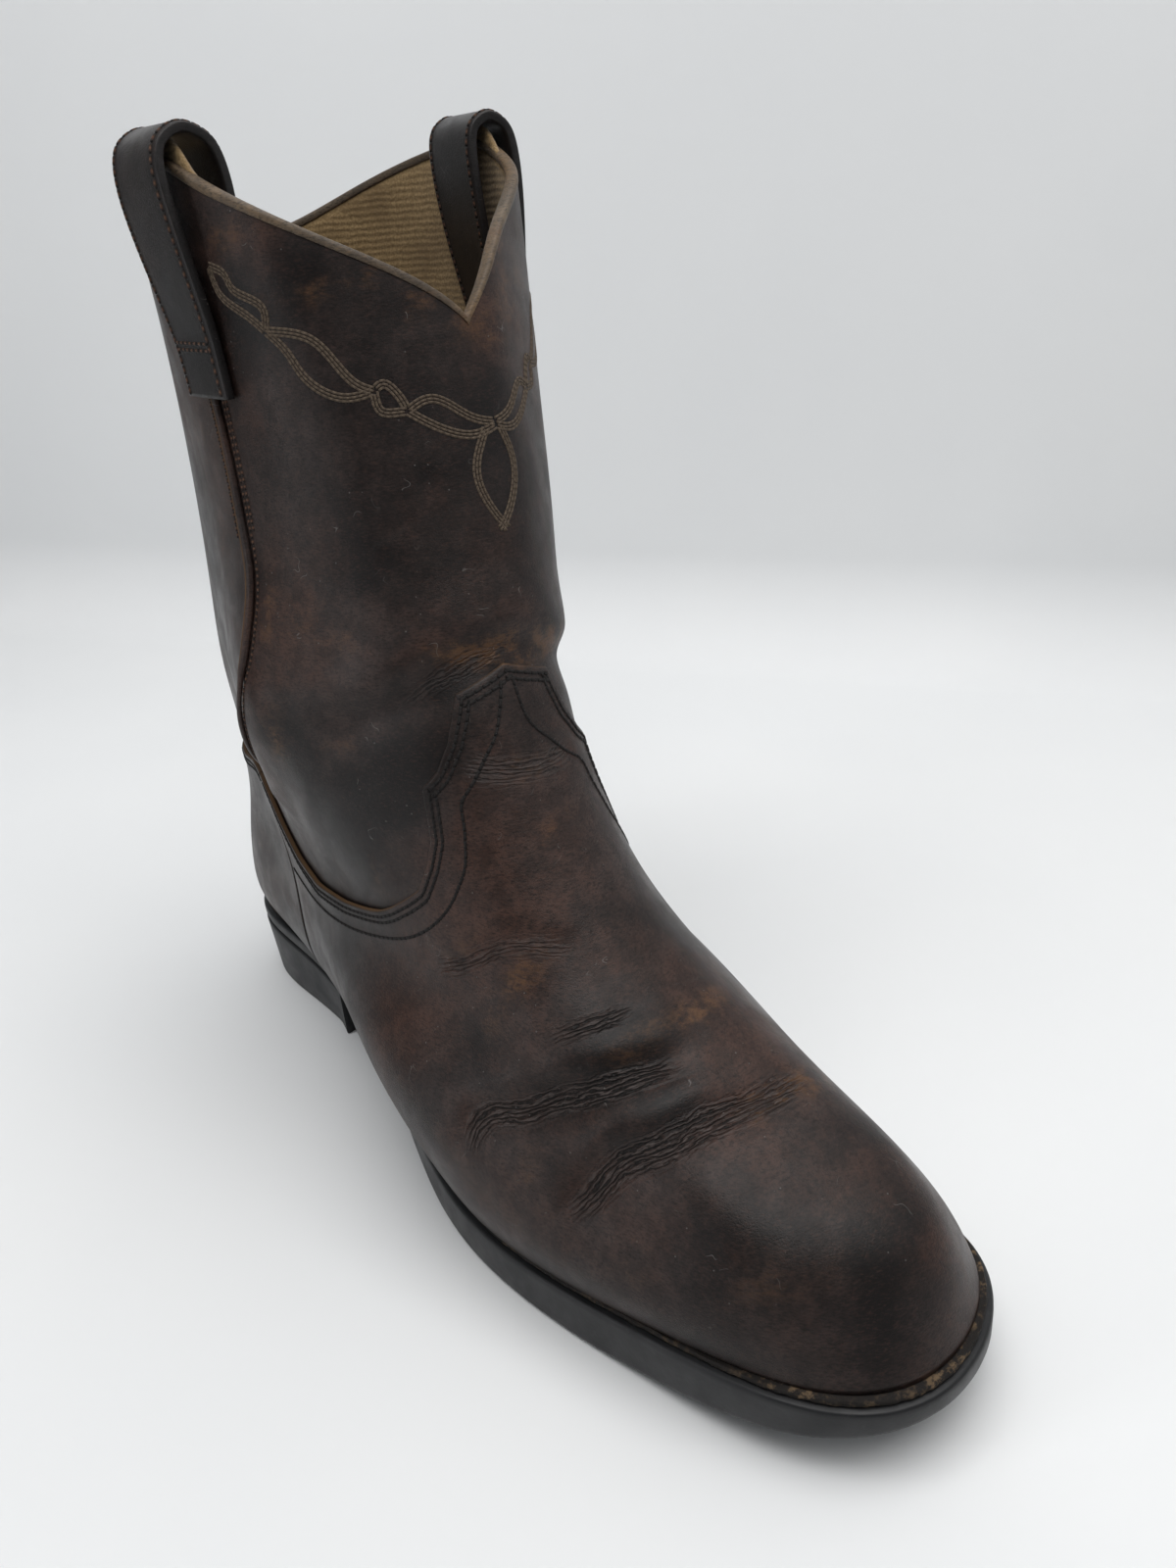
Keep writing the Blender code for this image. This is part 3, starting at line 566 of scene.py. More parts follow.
def spots(base, table):
    """Each spot of a table with how near every point is to its middle, from 0 to 1."""
    for angle, ring, reach_round, reach_up, strength in table:
        place = np.array([angle])
        height = np.array([ring])
        centre = skin(place, height)[0]
        across, up = skin_slopes(place, height)
        apart = base - centre
        round_share = apart @ unit(across)[0] / reach_round
        up_share = apart @ unit(up)[0] / reach_up
        depth_share = apart @ skin_normal(place, height)[0] / max(reach_round, reach_up)
        yield strength, np.exp(-(round_share**2 + up_share**2 + depth_share**2))


def wear_and_sheen(base):
    """How far the dark finish is rubbed off, and at one spot partly a painted sheen: 0 is not at all, 1 or
    more is bare.
    """
    total = np.zeros(len(base))
    for strength, near in spots(base, WORN_AND_SHEEN):
        total = np.maximum(total, strength * near)
    return total


def tone_and_painted_light(base):
    """Brown or black cast of the leather, from -1 to 1, with spots of painted shade and a painted sheen."""
    total = np.zeros(len(base))
    for strength, near in spots(base, TONE_AND_PAINTED_LIGHT_ZONES):
        total += strength * near
    return np.clip(total, -1.0, 1.0)


# Meshes and pieces


def volume(points, quads):
    """Signed volume inside quads."""
    a, b, c, d = (points[quads[:, i]] for i in range(4))
    return np.sum(a * np.cross(b, c)) + np.sum(a * np.cross(c, d))


def add_object(name, data):
    """A new object in the scene."""
    made = bpy.data.objects.new(name, data)
    bpy.context.scene.collection.objects.link(made)
    return made


def new_piece(name, points, faces, material, values, sharp=180.0):
    """A smooth mesh object from points in millimetres, with one value per point for each attribute."""
    mesh = bpy.data.meshes.new(name)
    mesh.from_pydata((points * MM).tolist(), [], faces)
    for key, numbers in values.items():
        layer = mesh.attributes.new(key, "FLOAT", "POINT")
        layer.data.foreach_set("value", np.ravel(numbers).astype(np.float32))
    mesh.shade_smooth()
    if sharp < 180.0:
        mesh.set_sharp_from_angle(angle=math.radians(sharp))
    mesh.materials.append(material)
    return add_object(name, mesh)


def ringed(index):
    """A grid of point numbers with its first column again at the end."""
    return np.concatenate([index, index[:, :1]], 1)


def grid_quads(index):
    """Faces between neighbours in a grid of point numbers."""
    return np.stack([index[:-1, :-1], index[:-1, 1:], index[1:, 1:], index[1:, :-1]], -1).reshape(-1, 4)


def closed_piece(name, points, quads, caps, material, values, sharp=180.0):
    """A closed piece from quads and caps, turned so that its faces look outward."""
    faces = quads.tolist() + caps
    if volume(points, quads) < 0.0:
        faces = [face[::-1] for face in faces]
    return new_piece(name, points, faces, material, values, sharp)


def fit(piece, slot, *nodes):
    """Set a piece on the boot's one body and hide the solids it stands for; its slot for a finish is not
    used.
    """
    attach(piece, "root")
    if nodes:
        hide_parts(*nodes)


def tube(name, grid, closed, material, values):
    """A closed piece from a grid whose rows run round its section; columns close or end in caps."""
    index = np.arange(grid[:, :, 0].size).reshape(grid.shape[:2])
    wide = ringed(index) if closed else index
    quads = grid_quads(np.concatenate([wide, wide[:1]], 0))
    caps = [] if closed else [index[:, 0].tolist(), index[::-1, -1].tolist()]
    return closed_piece(name, grid.reshape(-1, 3), quads, caps, material, values)


def stack(name, loops, material, sharp):
    """A solid from stacked loops, closed above and below by rungs from side to side."""
    grid = np.array(loops)
    rows, count = grid.shape[:2]
    index = np.arange(rows * count).reshape(rows, count)
    caps = []
    for row, turn in ((0, 1), (rows - 1, -1)):
        for j in range(count // 2):
            corners = [j + 1, j, (count - j) % count, count - j - 1]
            kept = list(dict.fromkeys(int(index[row, corner % count]) for corner in corners))
            caps.append(kept[::turn])
    return closed_piece(name, grid.reshape(-1, 3), grid_quads(ringed(index)), caps, material, {}, sharp)


def spread(stops, count):
    """Places from a table of (place, relative closeness), packed closer where that is higher."""
    places = np.linspace(stops[0][0], stops[-1][0], 2000)
    close = np.interp(places, [row[0] for row in stops], [row[1] for row in stops])
    total = np.concatenate([[0.0], np.cumsum((close[1:] + close[:-1]) / 2.0)])
    return np.interp(np.linspace(0.0, total[-1], count), total, places)


def raised(angle, ring, offset):
    """Points over the folded leather at an offset, with the leather's values there."""
    angle, ring, offset = np.broadcast_arrays(angle, ring, offset)
    base = skin(angle, ring)
    flat = base.reshape(-1, 3)
    rise, crease, across, along = relief(flat)
    low_edge = smooth(np.ravel(ring) / 0.8)
    lift = np.ravel(offset) + rise * low_edge
    points = flat + skin_normal(angle, ring).reshape(-1, 3) * lift[:, None]
    values = {"wear_and_sheen": wear_and_sheen(flat), "tone_and_painted_light": tone_and_painted_light(flat), "crease": crease * low_edge}
    values.update({"across": across, "along": along, "raw": np.zeros(len(flat))})
    return points.reshape(base.shape), values


def ring_per_mm(angle, ring):
    """Ring numbers per millimetre up the skin."""
    return 1.0 / np.linalg.norm(skin_slopes(angle, ring)[1], axis=-1)


# Materials


class Shader:
    """A material's node tree, with short calls that add nodes and join them."""

    def __init__(self, name):
        self.material = bpy.data.materials.new(name)
        self.material.use_nodes = True
        self.tree = self.material.node_tree
        self.surface = self.tree.nodes["Principled BSDF"]
        self.place = self.tree.nodes.new("ShaderNodeTexCoord").outputs["Object"]

    def put(self, kind, inputs, **settings):
        """Add a node, set its options and feed its inputs."""
        made = self.tree.nodes.new("ShaderNode" + kind)
        for key, value in settings.items():
            setattr(made, key, value)
        for key, value in inputs.items():
            self.feed(made.inputs[key], value)
        return made

    def feed(self, socket, value):
        """Join a socket to another, or set its value."""
        if isinstance(value, bpy.types.NodeSocket):
            self.tree.links.new(value, socket)
        else:
            socket.default_value = value

    def stretched(self, sizes):
        """Object coordinates scaled along each axis."""
        return self.put("Mapping", {"Vector": self.place, "Scale": sizes}).outputs["Vector"]

    def noise(self, scale, detail, rough, place=None):
        """Cloudy noise; scale is in features per metre."""
        inputs = {"Vector": place or self.place, "Scale": scale, "Detail": detail, "Roughness": rough}
        return self.put("TexNoise", inputs).outputs["Fac"]

    def cells(self, scale):
        """Distance from the middles of a cell pattern."""
        inputs = {"Vector": self.place, "Scale": scale}
        return self.put("TexVoronoi", inputs, feature="F1").outputs["Distance"]

    def waves(self, scale, wander, place):
        """Wavy bands across the first axis, 0 in the lines and 1 between them."""
        inputs = {"Vector": place, "Scale": scale, "Distortion": wander, "Detail": 3.0}
        inputs["Detail Roughness"] = 0.65
        made = self.put("TexWave", inputs, wave_type="BANDS", bands_direction="X", wave_profile="SIN")
        return made.outputs["Fac"]

    def value(self, name):
        """A mesh attribute."""
        return self.put("Attribute", {}, attribute_name=name).outputs["Fac"]

    def calc(self, operation, a, b):
        """Two numbers joined by a math operation."""
        return self.put("Math", {0: a, 1: b}, operation=operation).outputs[0]

    def times(self, a, b):
        """Product of two numbers."""
        return self.calc("MULTIPLY", a, b)

    def plus(self, a, b):
        """Sum of two numbers."""
        return self.calc("ADD", a, b)

    def ramp(self, value, low, high, start=0.0, end=1.0):
        """Ease a value from start to end between two limits."""
        inputs = {"Value": value, "From Min": low, "From Max": high, "To Min": start, "To Max": end}
        return self.put("MapRange", inputs, interpolation_type="SMOOTHSTEP").outputs["Result"]

    def blend(self, share, a, b):
        """Mix of two colours."""
        made = self.tree.nodes.new("ShaderNodeMix")
        made.data_type = "RGBA"
        self.feed(made.inputs[0], share)
        self.feed(made.inputs[6], a)
        self.feed(made.inputs[7], b)
        return made.outputs[2]

    def heights(self, *layers):
        """Bump from layers of (height in millimetres, texture)."""
        total = None
        for height, texture in layers:
            layer = self.times(texture, height * MM)
            total = layer if total is None else self.plus(total, layer)
        bump = self.put("Bump", {"Height": total, "Strength": 1.0, "Distance": 1.0})
        self.feed(self.surface.inputs["Normal"], bump.outputs["Normal"])

    def finish(self, colour, rough, **constants):
        """Set the surface's colour and roughness, then any constant sockets by name."""
        self.feed(self.surface.inputs["Base Color"], colour)
        self.feed(self.surface.inputs["Roughness"], rough)
        for key, value in constants.items():
            self.surface.inputs[key.replace("_", " ")].default_value = value
        return self.material


def leather(name, dark, mid, warm, worn, gloss):
    """Oiled leather: cloudy brown, rubbed where worn, with grain, pores and fine wrinkles; painted shade in
    the wrinkle grooves and painted highlights on their ridges.
    """
    shade = Shader(name)
    crease = shade.value("crease")
    across = shade.value("across")
    along = shade.value("along")
    # This cast carries the leather's brown and black tone, and also painted shade at the folds and a
    # painted sheen on the shaft's right front.
    tone_and_light_cast = shade.times(shade.value("tone_and_painted_light"), 0.5)
    clouds = shade.plus(shade.noise(34.0, 6.0, 0.62), shade.times(tone_and_light_cast, 0.45))
    red = shade.plus(shade.noise(21.0, 6.0, 0.65), shade.times(tone_and_light_cast, 0.30))
    clouds = shade.ramp(clouds, 0.30, 0.72)
    red = shade.ramp(red, 0.46, 0.72)
    colour = shade.blend(clouds, dark, mid)
    colour = shade.blend(shade.times(red, 0.8), colour, warm)
    fold_lines = shade.put("CombineXYZ", {"X": across, "Y": shade.times(along, 0.35)}).outputs["Vector"]
    depth = shade.ramp(crease, 0.05, 0.65)
    narrow = shade.times(shade.calc("SUBTRACT", 1.0, depth), 0.30)
    breaks = shade.ramp(shade.noise(0.45, 2.0, 0.5, fold_lines), 0.46, 0.66, 0.0, 0.24)
    narrow = shade.plus(narrow, breaks)
    coarse = shade.waves(0.30, 12.0, fold_lines)
    close = shade.waves(0.62, 11.0, fold_lines)
    deep_lines = shade.ramp(shade.plus(coarse, narrow), 0.36, 0.04)
    fine_lines = shade.times(shade.ramp(shade.plus(close, narrow), 0.28, 0.02), 0.60)
    cut = shade.calc("MAXIMUM", deep_lines, fine_lines)
    folds = shade.plus(coarse, shade.times(close, 0.3))
    folds = shade.times(folds, depth)
    streaks = shade.ramp(shade.noise(0.6, 5.0, 0.7, fold_lines), 0.42, 0.60)
    patches = shade.ramp(shade.noise(95.0, 7.0, 0.72), 0.36, 0.64)
    fibres = shade.stretched((1.0, 1.0, 3.0))
    fine = shade.ramp(shade.noise(420.0, 5.0, 0.7, fibres), 0.34, 0.60)
    hair = shade.noise(800.0, 5.0, 0.75, fibres)
    colour = shade.blend(shade.ramp(hair, 0.34, 0.54, 0.70, 0.0), colour, (0.004, 0.003, 0.0027, 1.0))
    colour = shade.blend(shade.ramp(hair, 0.50, 0.68, 0.0, 0.45), colour, warm)
    blotch = shade.ramp(shade.noise(190.0, 5.0, 0.70), 0.40, 0.60, 0.45, 0.0)
    colour = shade.blend(blotch, colour, dark)
    spots = shade.blend(shade.ramp(crease, 0.1, 0.5), patches, streaks)
    wear_and_sheen_here = shade.value("wear_and_sheen")
    # Rubbed-off brown, and at one spot a painted sheen.
    rubbed_and_sheen = shade.times(wear_and_sheen_here, spots)
    rubbed_and_sheen = shade.times(rubbed_and_sheen, shade.plus(shade.times(fine, 0.7), 0.3))
    colour = shade.blend(shade.ramp(rubbed_and_sheen, 0.03, 0.70), colour, worn)
    # Painted highlight: the tops of the wrinkle ridges made lighter.
    ridge_highlight = shade.times(shade.ramp(coarse, 0.45, 0.95), shade.times(depth, 0.70))
    colour = shade.blend(ridge_highlight, colour, (0.066, 0.053, 0.049, 1.0))
    # Painted shade: the wrinkle grooves darkened nearly to black.
    groove_shade = shade.times(cut, shade.ramp(wear_and_sheen_here, 0.2, 0.6, 0.90, 0.35))
    colour = shade.blend(groove_shade, colour, (0.0022, 0.0016, 0.0014, 1.0))
    colour = shade.blend(shade.value("raw"), colour, RAW_EDGE)
    dots = shade.ramp(shade.cells(330.0), 0.075, 0.045)
    thin = shade.calc("ABSOLUTE", shade.calc("SUBTRACT", shade.noise(210.0, 1.0, 0.5), 0.5), 0.0)
    few = shade.ramp(shade.noise(160.0, 1.0, 0.5), 0.66, 0.70)
    hairs = shade.times(shade.ramp(thin, 0.008, 0.003), few)
    dusty = shade.ramp(shade.noise(40.0, 2.0, 0.5), 0.42, 0.58, 0.0, 0.50)
    lint = shade.times(shade.calc("MAXIMUM", dots, hairs), dusty)
    colour = shade.blend(lint, colour, (0.15, 0.14, 0.135, 1.0))
    grain = shade.noise(1500.0, 4.0, 0.7, fibres)
    pores = shade.ramp(shade.cells(1700.0), 0.05, 0.60)
    lumps = shade.noise(130.0, 3.0, 0.5)
    shade.heights((0.075, grain), (0.020, pores), (0.030, lumps), (-0.14, cut), (0.32, folds))
    rough = shade.ramp(shade.noise(90.0, 4.0, 0.6), 0.3, 0.7, gloss - 0.05, gloss + 0.09)
    rough = shade.plus(rough, shade.times(depth, 0.10))
    rough = shade.plus(rough, shade.value("raw"))
    return shade.finish(colour, rough, Specular_IOR_Level=0.21)


def thread(name, colour, deep, hole_shade):
    """Spun thread, with painted shade where it dives into its hole."""
    shade = Shader(name)
    twist = shade.noise(2600.0, 2.0, 0.5)
    lit = shade.blend(shade.ramp(twist, 0.3, 0.7), deep, colour)
    lit = shade.blend(shade.value("hole_shade"), lit, hole_shade)
    shade.heights((0.06, twist))
    return shade.finish(lit, 0.75, Specular_IOR_Level=0.3)


def textile():
    """Ribbed lining cloth, golden tan with darker stains."""
    shade = Shader("lining_cloth")
    ribs = shade.put("TexWave", {"Vector": shade.place, "Scale": 185.0, "Distortion": 2.4, "Detail": 3.0},
                     wave_type="BANDS", bands_direction="Z").outputs["Fac"]
    weave = shade.noise(1700.0, 2.0, 0.5)
    stains = shade.ramp(shade.noise(55.0, 5.0, 0.65), 0.40, 0.66)
    lit = shade.ramp(weave, 0.3, 0.7)
    colour = shade.blend(lit, (0.185, 0.122, 0.055, 1.0), (0.300, 0.208, 0.102, 1.0))
    # Painted shade: the rib grooves darkened.
    colour = shade.blend(shade.ramp(ribs, 0.0, 0.5, 0.16, 0.0), colour, (0.14, 0.092, 0.042, 1.0))
    colour = shade.blend(shade.times(stains, 0.6), colour, (0.13, 0.082, 0.038, 1.0))
    shade.heights((0.10, ribs), (0.12, weave))
    return shade.finish(colour, 0.9, Specular_IOR_Level=0.2, Sheen_Weight=0.2, Sheen_Roughness=0.5)


def board():
    """Insole: pressed brown leather, polished by the foot."""
    shade = Shader("insole_leather")
    fade = shade.ramp(shade.noise(30.0, 5.0, 0.6), 0.35, 0.70)
    colour = shade.blend(fade, (0.23, 0.155, 0.085, 1.0), (0.12, 0.078, 0.045, 1.0))
    shade.heights((0.10, shade.noise(900.0, 3.0, 0.6)))
    return shade.finish(colour, 0.7, Specular_IOR_Level=0.4)


def rubber():
    """Sole rubber: blue-black, faintly scuffed and dusty."""
    shade = Shader("sole_rubber")
    dust = shade.ramp(shade.noise(60.0, 6.0, 0.65), 0.45, 0.80)
    scuff = shade.ramp(shade.noise(300.0, 5.0, 0.7), 0.55, 0.80)
    colour = shade.blend(dust, (0.0065, 0.0068, 0.0080, 1.0), (0.013, 0.013, 0.0145, 1.0))
    colour = shade.blend(shade.times(scuff, 0.35), colour, (0.045, 0.044, 0.044, 1.0))
    shade.heights((0.03, shade.noise(1300.0, 3.0, 0.6)), (0.05, shade.noise(180.0, 3.0, 0.5)))
    rough = shade.ramp(shade.noise(110.0, 4.0, 0.6), 0.3, 0.7, 0.38, 0.52)
    return shade.finish(colour, rough, Specular_IOR_Level=0.35)


def seam_dirt():
    """The thin layer over the outsole: dark, with brown dirt caught in it."""
    shade = Shader("midsole_dirt")
    spots = shade.ramp(shade.noise(520.0, 4.0, 0.65), 0.48, 0.66)
    patches = shade.ramp(shade.noise(45.0, 3.0, 0.5), 0.38, 0.60)
    dirt = shade.times(spots, patches)
    colour = shade.blend(dirt, (0.010, 0.008, 0.007, 1.0), (0.120, 0.080, 0.045, 1.0))
    shade.heights((0.25, shade.noise(700.0, 4.0, 0.6)))
    return shade.finish(colour, 0.85, Specular_IOR_Level=0.3)


def plain_stage():
    """Pale studio paper, clear from behind so that views from that side show the boot."""
    shade = Shader("studio_paper")
    tone = shade.ramp(shade.noise(6.0, 2.0, 0.5), 0.3, 0.7)
    colour = shade.blend(tone, (0.745, 0.757, 0.765, 1.0), (0.765, 0.775, 0.78, 1.0))
    behind = shade.put("NewGeometry", {}).outputs["Backfacing"]
    clear = shade.put("BsdfTransparent", {}).outputs["BSDF"]
    mixed = shade.put("MixShader", {0: behind, 1: shade.surface.outputs["BSDF"], 2: clear})
    shade.feed(shade.tree.nodes["Material Output"].inputs["Surface"], mixed.outputs["Shader"])
    return shade.finish(colour, 0.75, Specular_IOR_Level=0.2)


DARK = (0.0065, 0.0050, 0.0048, 1.0)
MID = (0.0410, 0.0285, 0.0255, 1.0)
WARM = (0.0570, 0.0275, 0.0195, 1.0)
WORN_BROWN = (0.0850, 0.0420, 0.0200, 1.0)
RAW_EDGE = (0.105, 0.060, 0.028, 1.0)
# Painted shade for the stitch holes.
PAINTED_HOLE_SHADE = (0.0035, 0.0027, 0.0025, 1.0)
UPPER_LEATHER = leather("oiled_leather", DARK, MID, WARM, WORN_BROWN, 0.38)
# The strap's grey, lighter face colours partly stand in for its sheen, a painted highlight.
STRAP_LEATHER = leather("strap_leather", (0.0120, 0.0110, 0.0112, 1.0), (0.0250, 0.0215, 0.0210, 1.0),
                        (0.0280, 0.0200, 0.0170, 1.0), WORN_BROWN, 0.33)
EDGE_LEATHER = leather("edge_leather", (0.060, 0.046, 0.034, 1.0), (0.140, 0.108, 0.076, 1.0),
                       (0.165, 0.105, 0.055, 1.0), WORN_BROWN, 0.42)
# The last colour of each thread is the painted shade where it dives into its holes.
DARK_THREAD = thread("dark_thread", (0.014, 0.0105, 0.0095, 1.0), (0.006, 0.0045, 0.004, 1.0), PAINTED_HOLE_SHADE)
BROWN_THREAD = thread("brown_thread", (0.125, 0.062, 0.036, 1.0), (0.070, 0.034, 0.020, 1.0), PAINTED_HOLE_SHADE)
TAN_THREAD = thread("tan_thread", (0.125, 0.092, 0.062, 1.0), (0.075, 0.054, 0.037, 1.0),
                    (0.060, 0.043, 0.029, 1.0))
LINING_CLOTH = textile()
INSOLE_LEATHER = board()
SOLE_RUBBER = rubber()
MIDSOLE_DIRT = seam_dirt()


# The leather pieces


def shell(angles, top, outer, inner, outside, inside):
    """A wall up to an edge: points at shares of its height on both sides, with their values."""
    share = np.concatenate([outer, inner])
    offset = np.concatenate([np.full(len(outer), outside), np.full(len(inner), inside)])
    return raised(angles[None], share[:, None] * top[None], offset[:, None])


def make_upper():
    """Outer leather of shaft and foot, one skin closed round a thin wall."""
    angles = full_turn(UPPER_COLUMNS)
    outer = spread(((0.0, 0.3), (0.40, 0.4), (0.46, 1.0), (1.0, 1.0)), UPPER_ROWS)
    inner = np.linspace(1.0, 0.0, INNER_ROWS)
    points, values = shell(angles, collar_ring(angles), outer, inner, 0.0, -LEATHER)
    fit(tube("shaft_leather", points, True, UPPER_LEATHER, values), "leather", "upper")


def make_lining():
    """Cloth lining inside the leather, drawn up under the straps."""
    angles = full_turn(LINING_COLUMNS)
    under = [STRAP_LEVEL + strap[4] - STRAP_THICK / 2.0 - GAP for strap in STRAPS]
    tuft = np.where(angles < 180.0, under[1], under[0]) - collar_height(angles)
    rise = np.maximum(tuft, 0.0) * np.exp(-(((from_toe(angles) - SEAM_ANGLE) / TUFT_SPREAD) ** 4))
    top = ring_at_height(angles, collar_height(angles) + rise)
    outer = np.linspace(0.02, 1.0, INNER_ROWS)
    inner = np.linspace(1.0, 0.02, LINING_ROWS)
    points, _ = shell(angles, top, outer, inner, -LEATHER - LINING_GAP, -WALL)
    fit(tube("lining", points, True, LINING_CLOTH, {}), "lining", "upper")


def overlay(name, angles, tops, shares, raw, node):
    """A layer over the upper below an edge; raw is how bare the rounded rim is at each angle."""
    metric = ring_per_mm(angles, tops)
    rim = ((-0.45, 1.58, 0.0), (-0.12, 1.42, 0.5), (0.0, 1.10, 1.0), (0.0, 0.70, 1.0), (-0.10, 0.40, 1.0))
    rows = [(share * (tops - 0.9 * metric), GAP + OVERLAY, 0.0) for share in shares]
    rows += [(tops + back * metric, lift, bare) for back, lift, bare in rim]
    rows += [(share * (tops - 0.3 * metric), GAP, 0.0) for share in np.linspace(1.0, 0.0, INNER_ROWS)]
    rings, offsets, bares = (np.array(part) for part in zip(*rows))
    points, values = raised(angles[None], rings, offsets[:, None])
    feather = skin(angles, np.zeros(len(angles)))[:, 2]
    points[[0, -1], :, 2] = feather
    values["raw"] = bares[:, None] * raw[None]
    fit(tube(name, points, False, UPPER_LEATHER, values), "leather", node)


def make_vamp():
    """Vamp with its tongue and wings."""
    around = ((-WING_END, 0.5), (-80.0, 0.6), (-70.0, 1.7), (28.0, 1.7), (45.0, 0.6), (WING_END, 0.5))
    upward = ((0.0, 0.4), (0.2, 0.9), (0.3, 1.5), (0.75, 1.5), (0.85, 0.8), (1.0, 0.8))
    angles = spread(around, VAMP_COLUMNS)
    turn = np.abs(angles)
    tops = table_line(VAMP_EDGE, turn)
    overlay("vamp_leather", angles, tops, spread(upward, VAMP_ROWS), table_line(BARE_RIM, turn), "vamp")


def make_counter():
    """Heel counter."""
    start = WING_END + PIECE_GAP
    angles = np.linspace(start, 360.0 - start, COUNTER_COLUMNS)
    tops = table_line(COUNTER_EDGE, from_toe(angles))
    shares = np.linspace(0.0, 1.0, COUNTER_ROWS)
    overlay("counter_leather", angles, tops, shares, np.full(angles.shape, 0.5), "heel_counter")


def make_seam(name, side):
    """Piped seam down one side of the shaft."""
    path = smooth_path(SEAM_PATH, SEAM_STEPS)
    centre = side * path[:, 0]
    ring = path[:, 1]
    across, _ = skin_slopes(centre, ring)
    lean = unit(np.gradient(skin(centre, ring), axis=0))
    taper = smooth((1.0 - np.linspace(0.0, 1.0, SEAM_STEPS)) / 0.14)
    spread_angle = SEAM_HALF / np.linalg.norm(across, axis=1) / np.maximum(0.5, np.abs(lean[:, 2]))
    turn = np.linspace(0.0, np.pi, 13)
    reach = np.concatenate([np.cos(turn), [-0.5, 0.0, 0.5]])
    lift = np.concatenate([GAP + OVERLAY * np.sin(turn) ** 0.7, [GAP, GAP, GAP]])
    angle = centre[None] + reach[:, None] * spread_angle[None]
    offset = 0.1 + (lift[:, None] - 0.1) * (0.1 + 0.9 * taper[None])
    points, values = raised(angle, ring[None], offset)
    rear = side * reach
    bare = np.where(lift > GAP, 0.9 * smooth((rear + 0.05) / 0.2) * smooth((0.75 - rear) / 0.2), 0.0)
    values["raw"] = np.repeat(bare[:, None], SEAM_STEPS, 1)
    fit(tube(name + "_piping", points, False, UPPER_LEATHER, values), "leather", name)


def rounded(section, passes):
    """A closed outline with its corners cut, again and again."""
    points = np.array(section)
    for _ in range(passes):
        after = np.roll(points, -1, 0)
        points = np.stack([0.75 * points + 0.25 * after, 0.25 * points + 0.75 * after], 1).reshape(-1, 2)
    return points


def make_binding():
    """Rolled edge round the collar."""
    angles = full_turn(COLLAR_COLUMNS)
    section = rounded(EDGE_SECTION, 2)
    top = collar_ring(angles)
    per_mm = 1.0 / skin_slopes(angles, top)[1][:, 2]
    points, values = raised(angles[None], top[None] + section[:, 1:] * per_mm[None], section[:, :1])
    fit(tube("collar_edge", points, True, EDGE_LEATHER, values), "edge", "collar_binding")


def strap_path(steps):
    """Steps along a pull strap with its half width at each."""
    path = smooth_path(STRAP_PATH, steps)
    half = STRAP_TAB_HALF + (STRAP_TOP_HALF - STRAP_TAB_HALF) * np.clip(path[:, 5], 0.0, 1.0)
    return path, half


def strap_middle(strap, path, reach):
    """Points of a pull strap's middle sheet at distances from its middle line."""
    _, side, stand_out, stand_in, rise = strap
    centre = side * SEAM_ANGLE
    around = skin(centre + np.array([-1.0, 1.0]), np.array([11.0, 11.0]))
    per_degree = np.linalg.norm(around[1] - around[0]) / 2.0
    angle = centre + reach / per_degree
    height = np.repeat((STRAP_LEVEL + path[:, 0] + path[:, 1] * rise)[None], len(reach), 0)
    ring = ring_at_height(angle, height)
    offset = path[:, 2] + path[:, 3] * stand_out + path[:, 4] * stand_in
    return skin(angle, ring) + skin_normal(angle, ring) * offset[None, :, None]


def strap_sheet(strap, path, reach):
    """Middle sheet of a pull strap at distances from its middle line: points and outward directions."""
    middle = strap_middle(strap, path, reach)
    across = strap_middle(strap, path, reach + 0.2) - strap_middle(strap, path, reach - 0.2)
    normal = unit(np.cross(np.gradient(middle, axis=1), across))
    outward = np.sum(normal[:, 1, 0]) * strap[1]
    return middle, normal if outward > 0.0 else -normal


def make_strap(strap):
    """Looped pull strap with rounded edges."""
    turn = np.linspace(0.0, 2.0 * np.pi, STRAP_ROUND, endpoint=False)
    across = np.sign(np.cos(turn)) * np.abs(np.cos(turn)) ** 0.30
    lift = np.sign(np.sin(turn)) * np.abs(np.sin(turn)) ** 0.30 * STRAP_THICK / 2.0
    path, half = strap_path(STRAP_STEPS)
    middle, normal = strap_sheet(strap, path, across[:, None] * half[None])
    points = middle + normal * lift[:, None, None]
    edge = np.repeat(smooth((np.abs(across) - 0.95) / 0.04)[:, None], STRAP_STEPS, 1)
    corner = edge * smooth((np.abs(lift) - 0.8) / 0.3)[:, None]
    # The edges' black is partly the dark cut edge and partly a painted shadow between strap and shaft; the
    # rubbed corner is real wear.
    values = {"wear_and_sheen": 0.6 * corner, "tone_and_painted_light": -0.8 * edge}
    for name in ("crease", "across", "along", "raw"):
        values[name] = np.zeros(edge.size)
    fit(tube(strap[0] + "_leather", points, False, STRAP_LEATHER, values), "leather", strap[0])


# The sole


def sole_outline(extra):
    """Outline round the upper's lower edge, moved out by a margin."""
    edge = skin(full_turn(SOLE_COLUMNS), np.zeros(SOLE_COLUMNS))
    along = np.roll(edge, -2, 0) - np.roll(edge, 2, 0)
    out = unit(np.stack([along[:, 1], -along[:, 0]], 1))
    middle = edge[:, :2].mean(0)
    if np.sum((edge[:, :2] - middle) * out) < 0.0:
        out = -out
    moved = edge.copy()
    moved[:, :2] += out * np.asarray(extra)[..., None]
    return moved


def margins():
    """Sole margin at each outline point."""
    return table_line(MARGINS, from_toe(full_turn(SOLE_COLUMNS)))


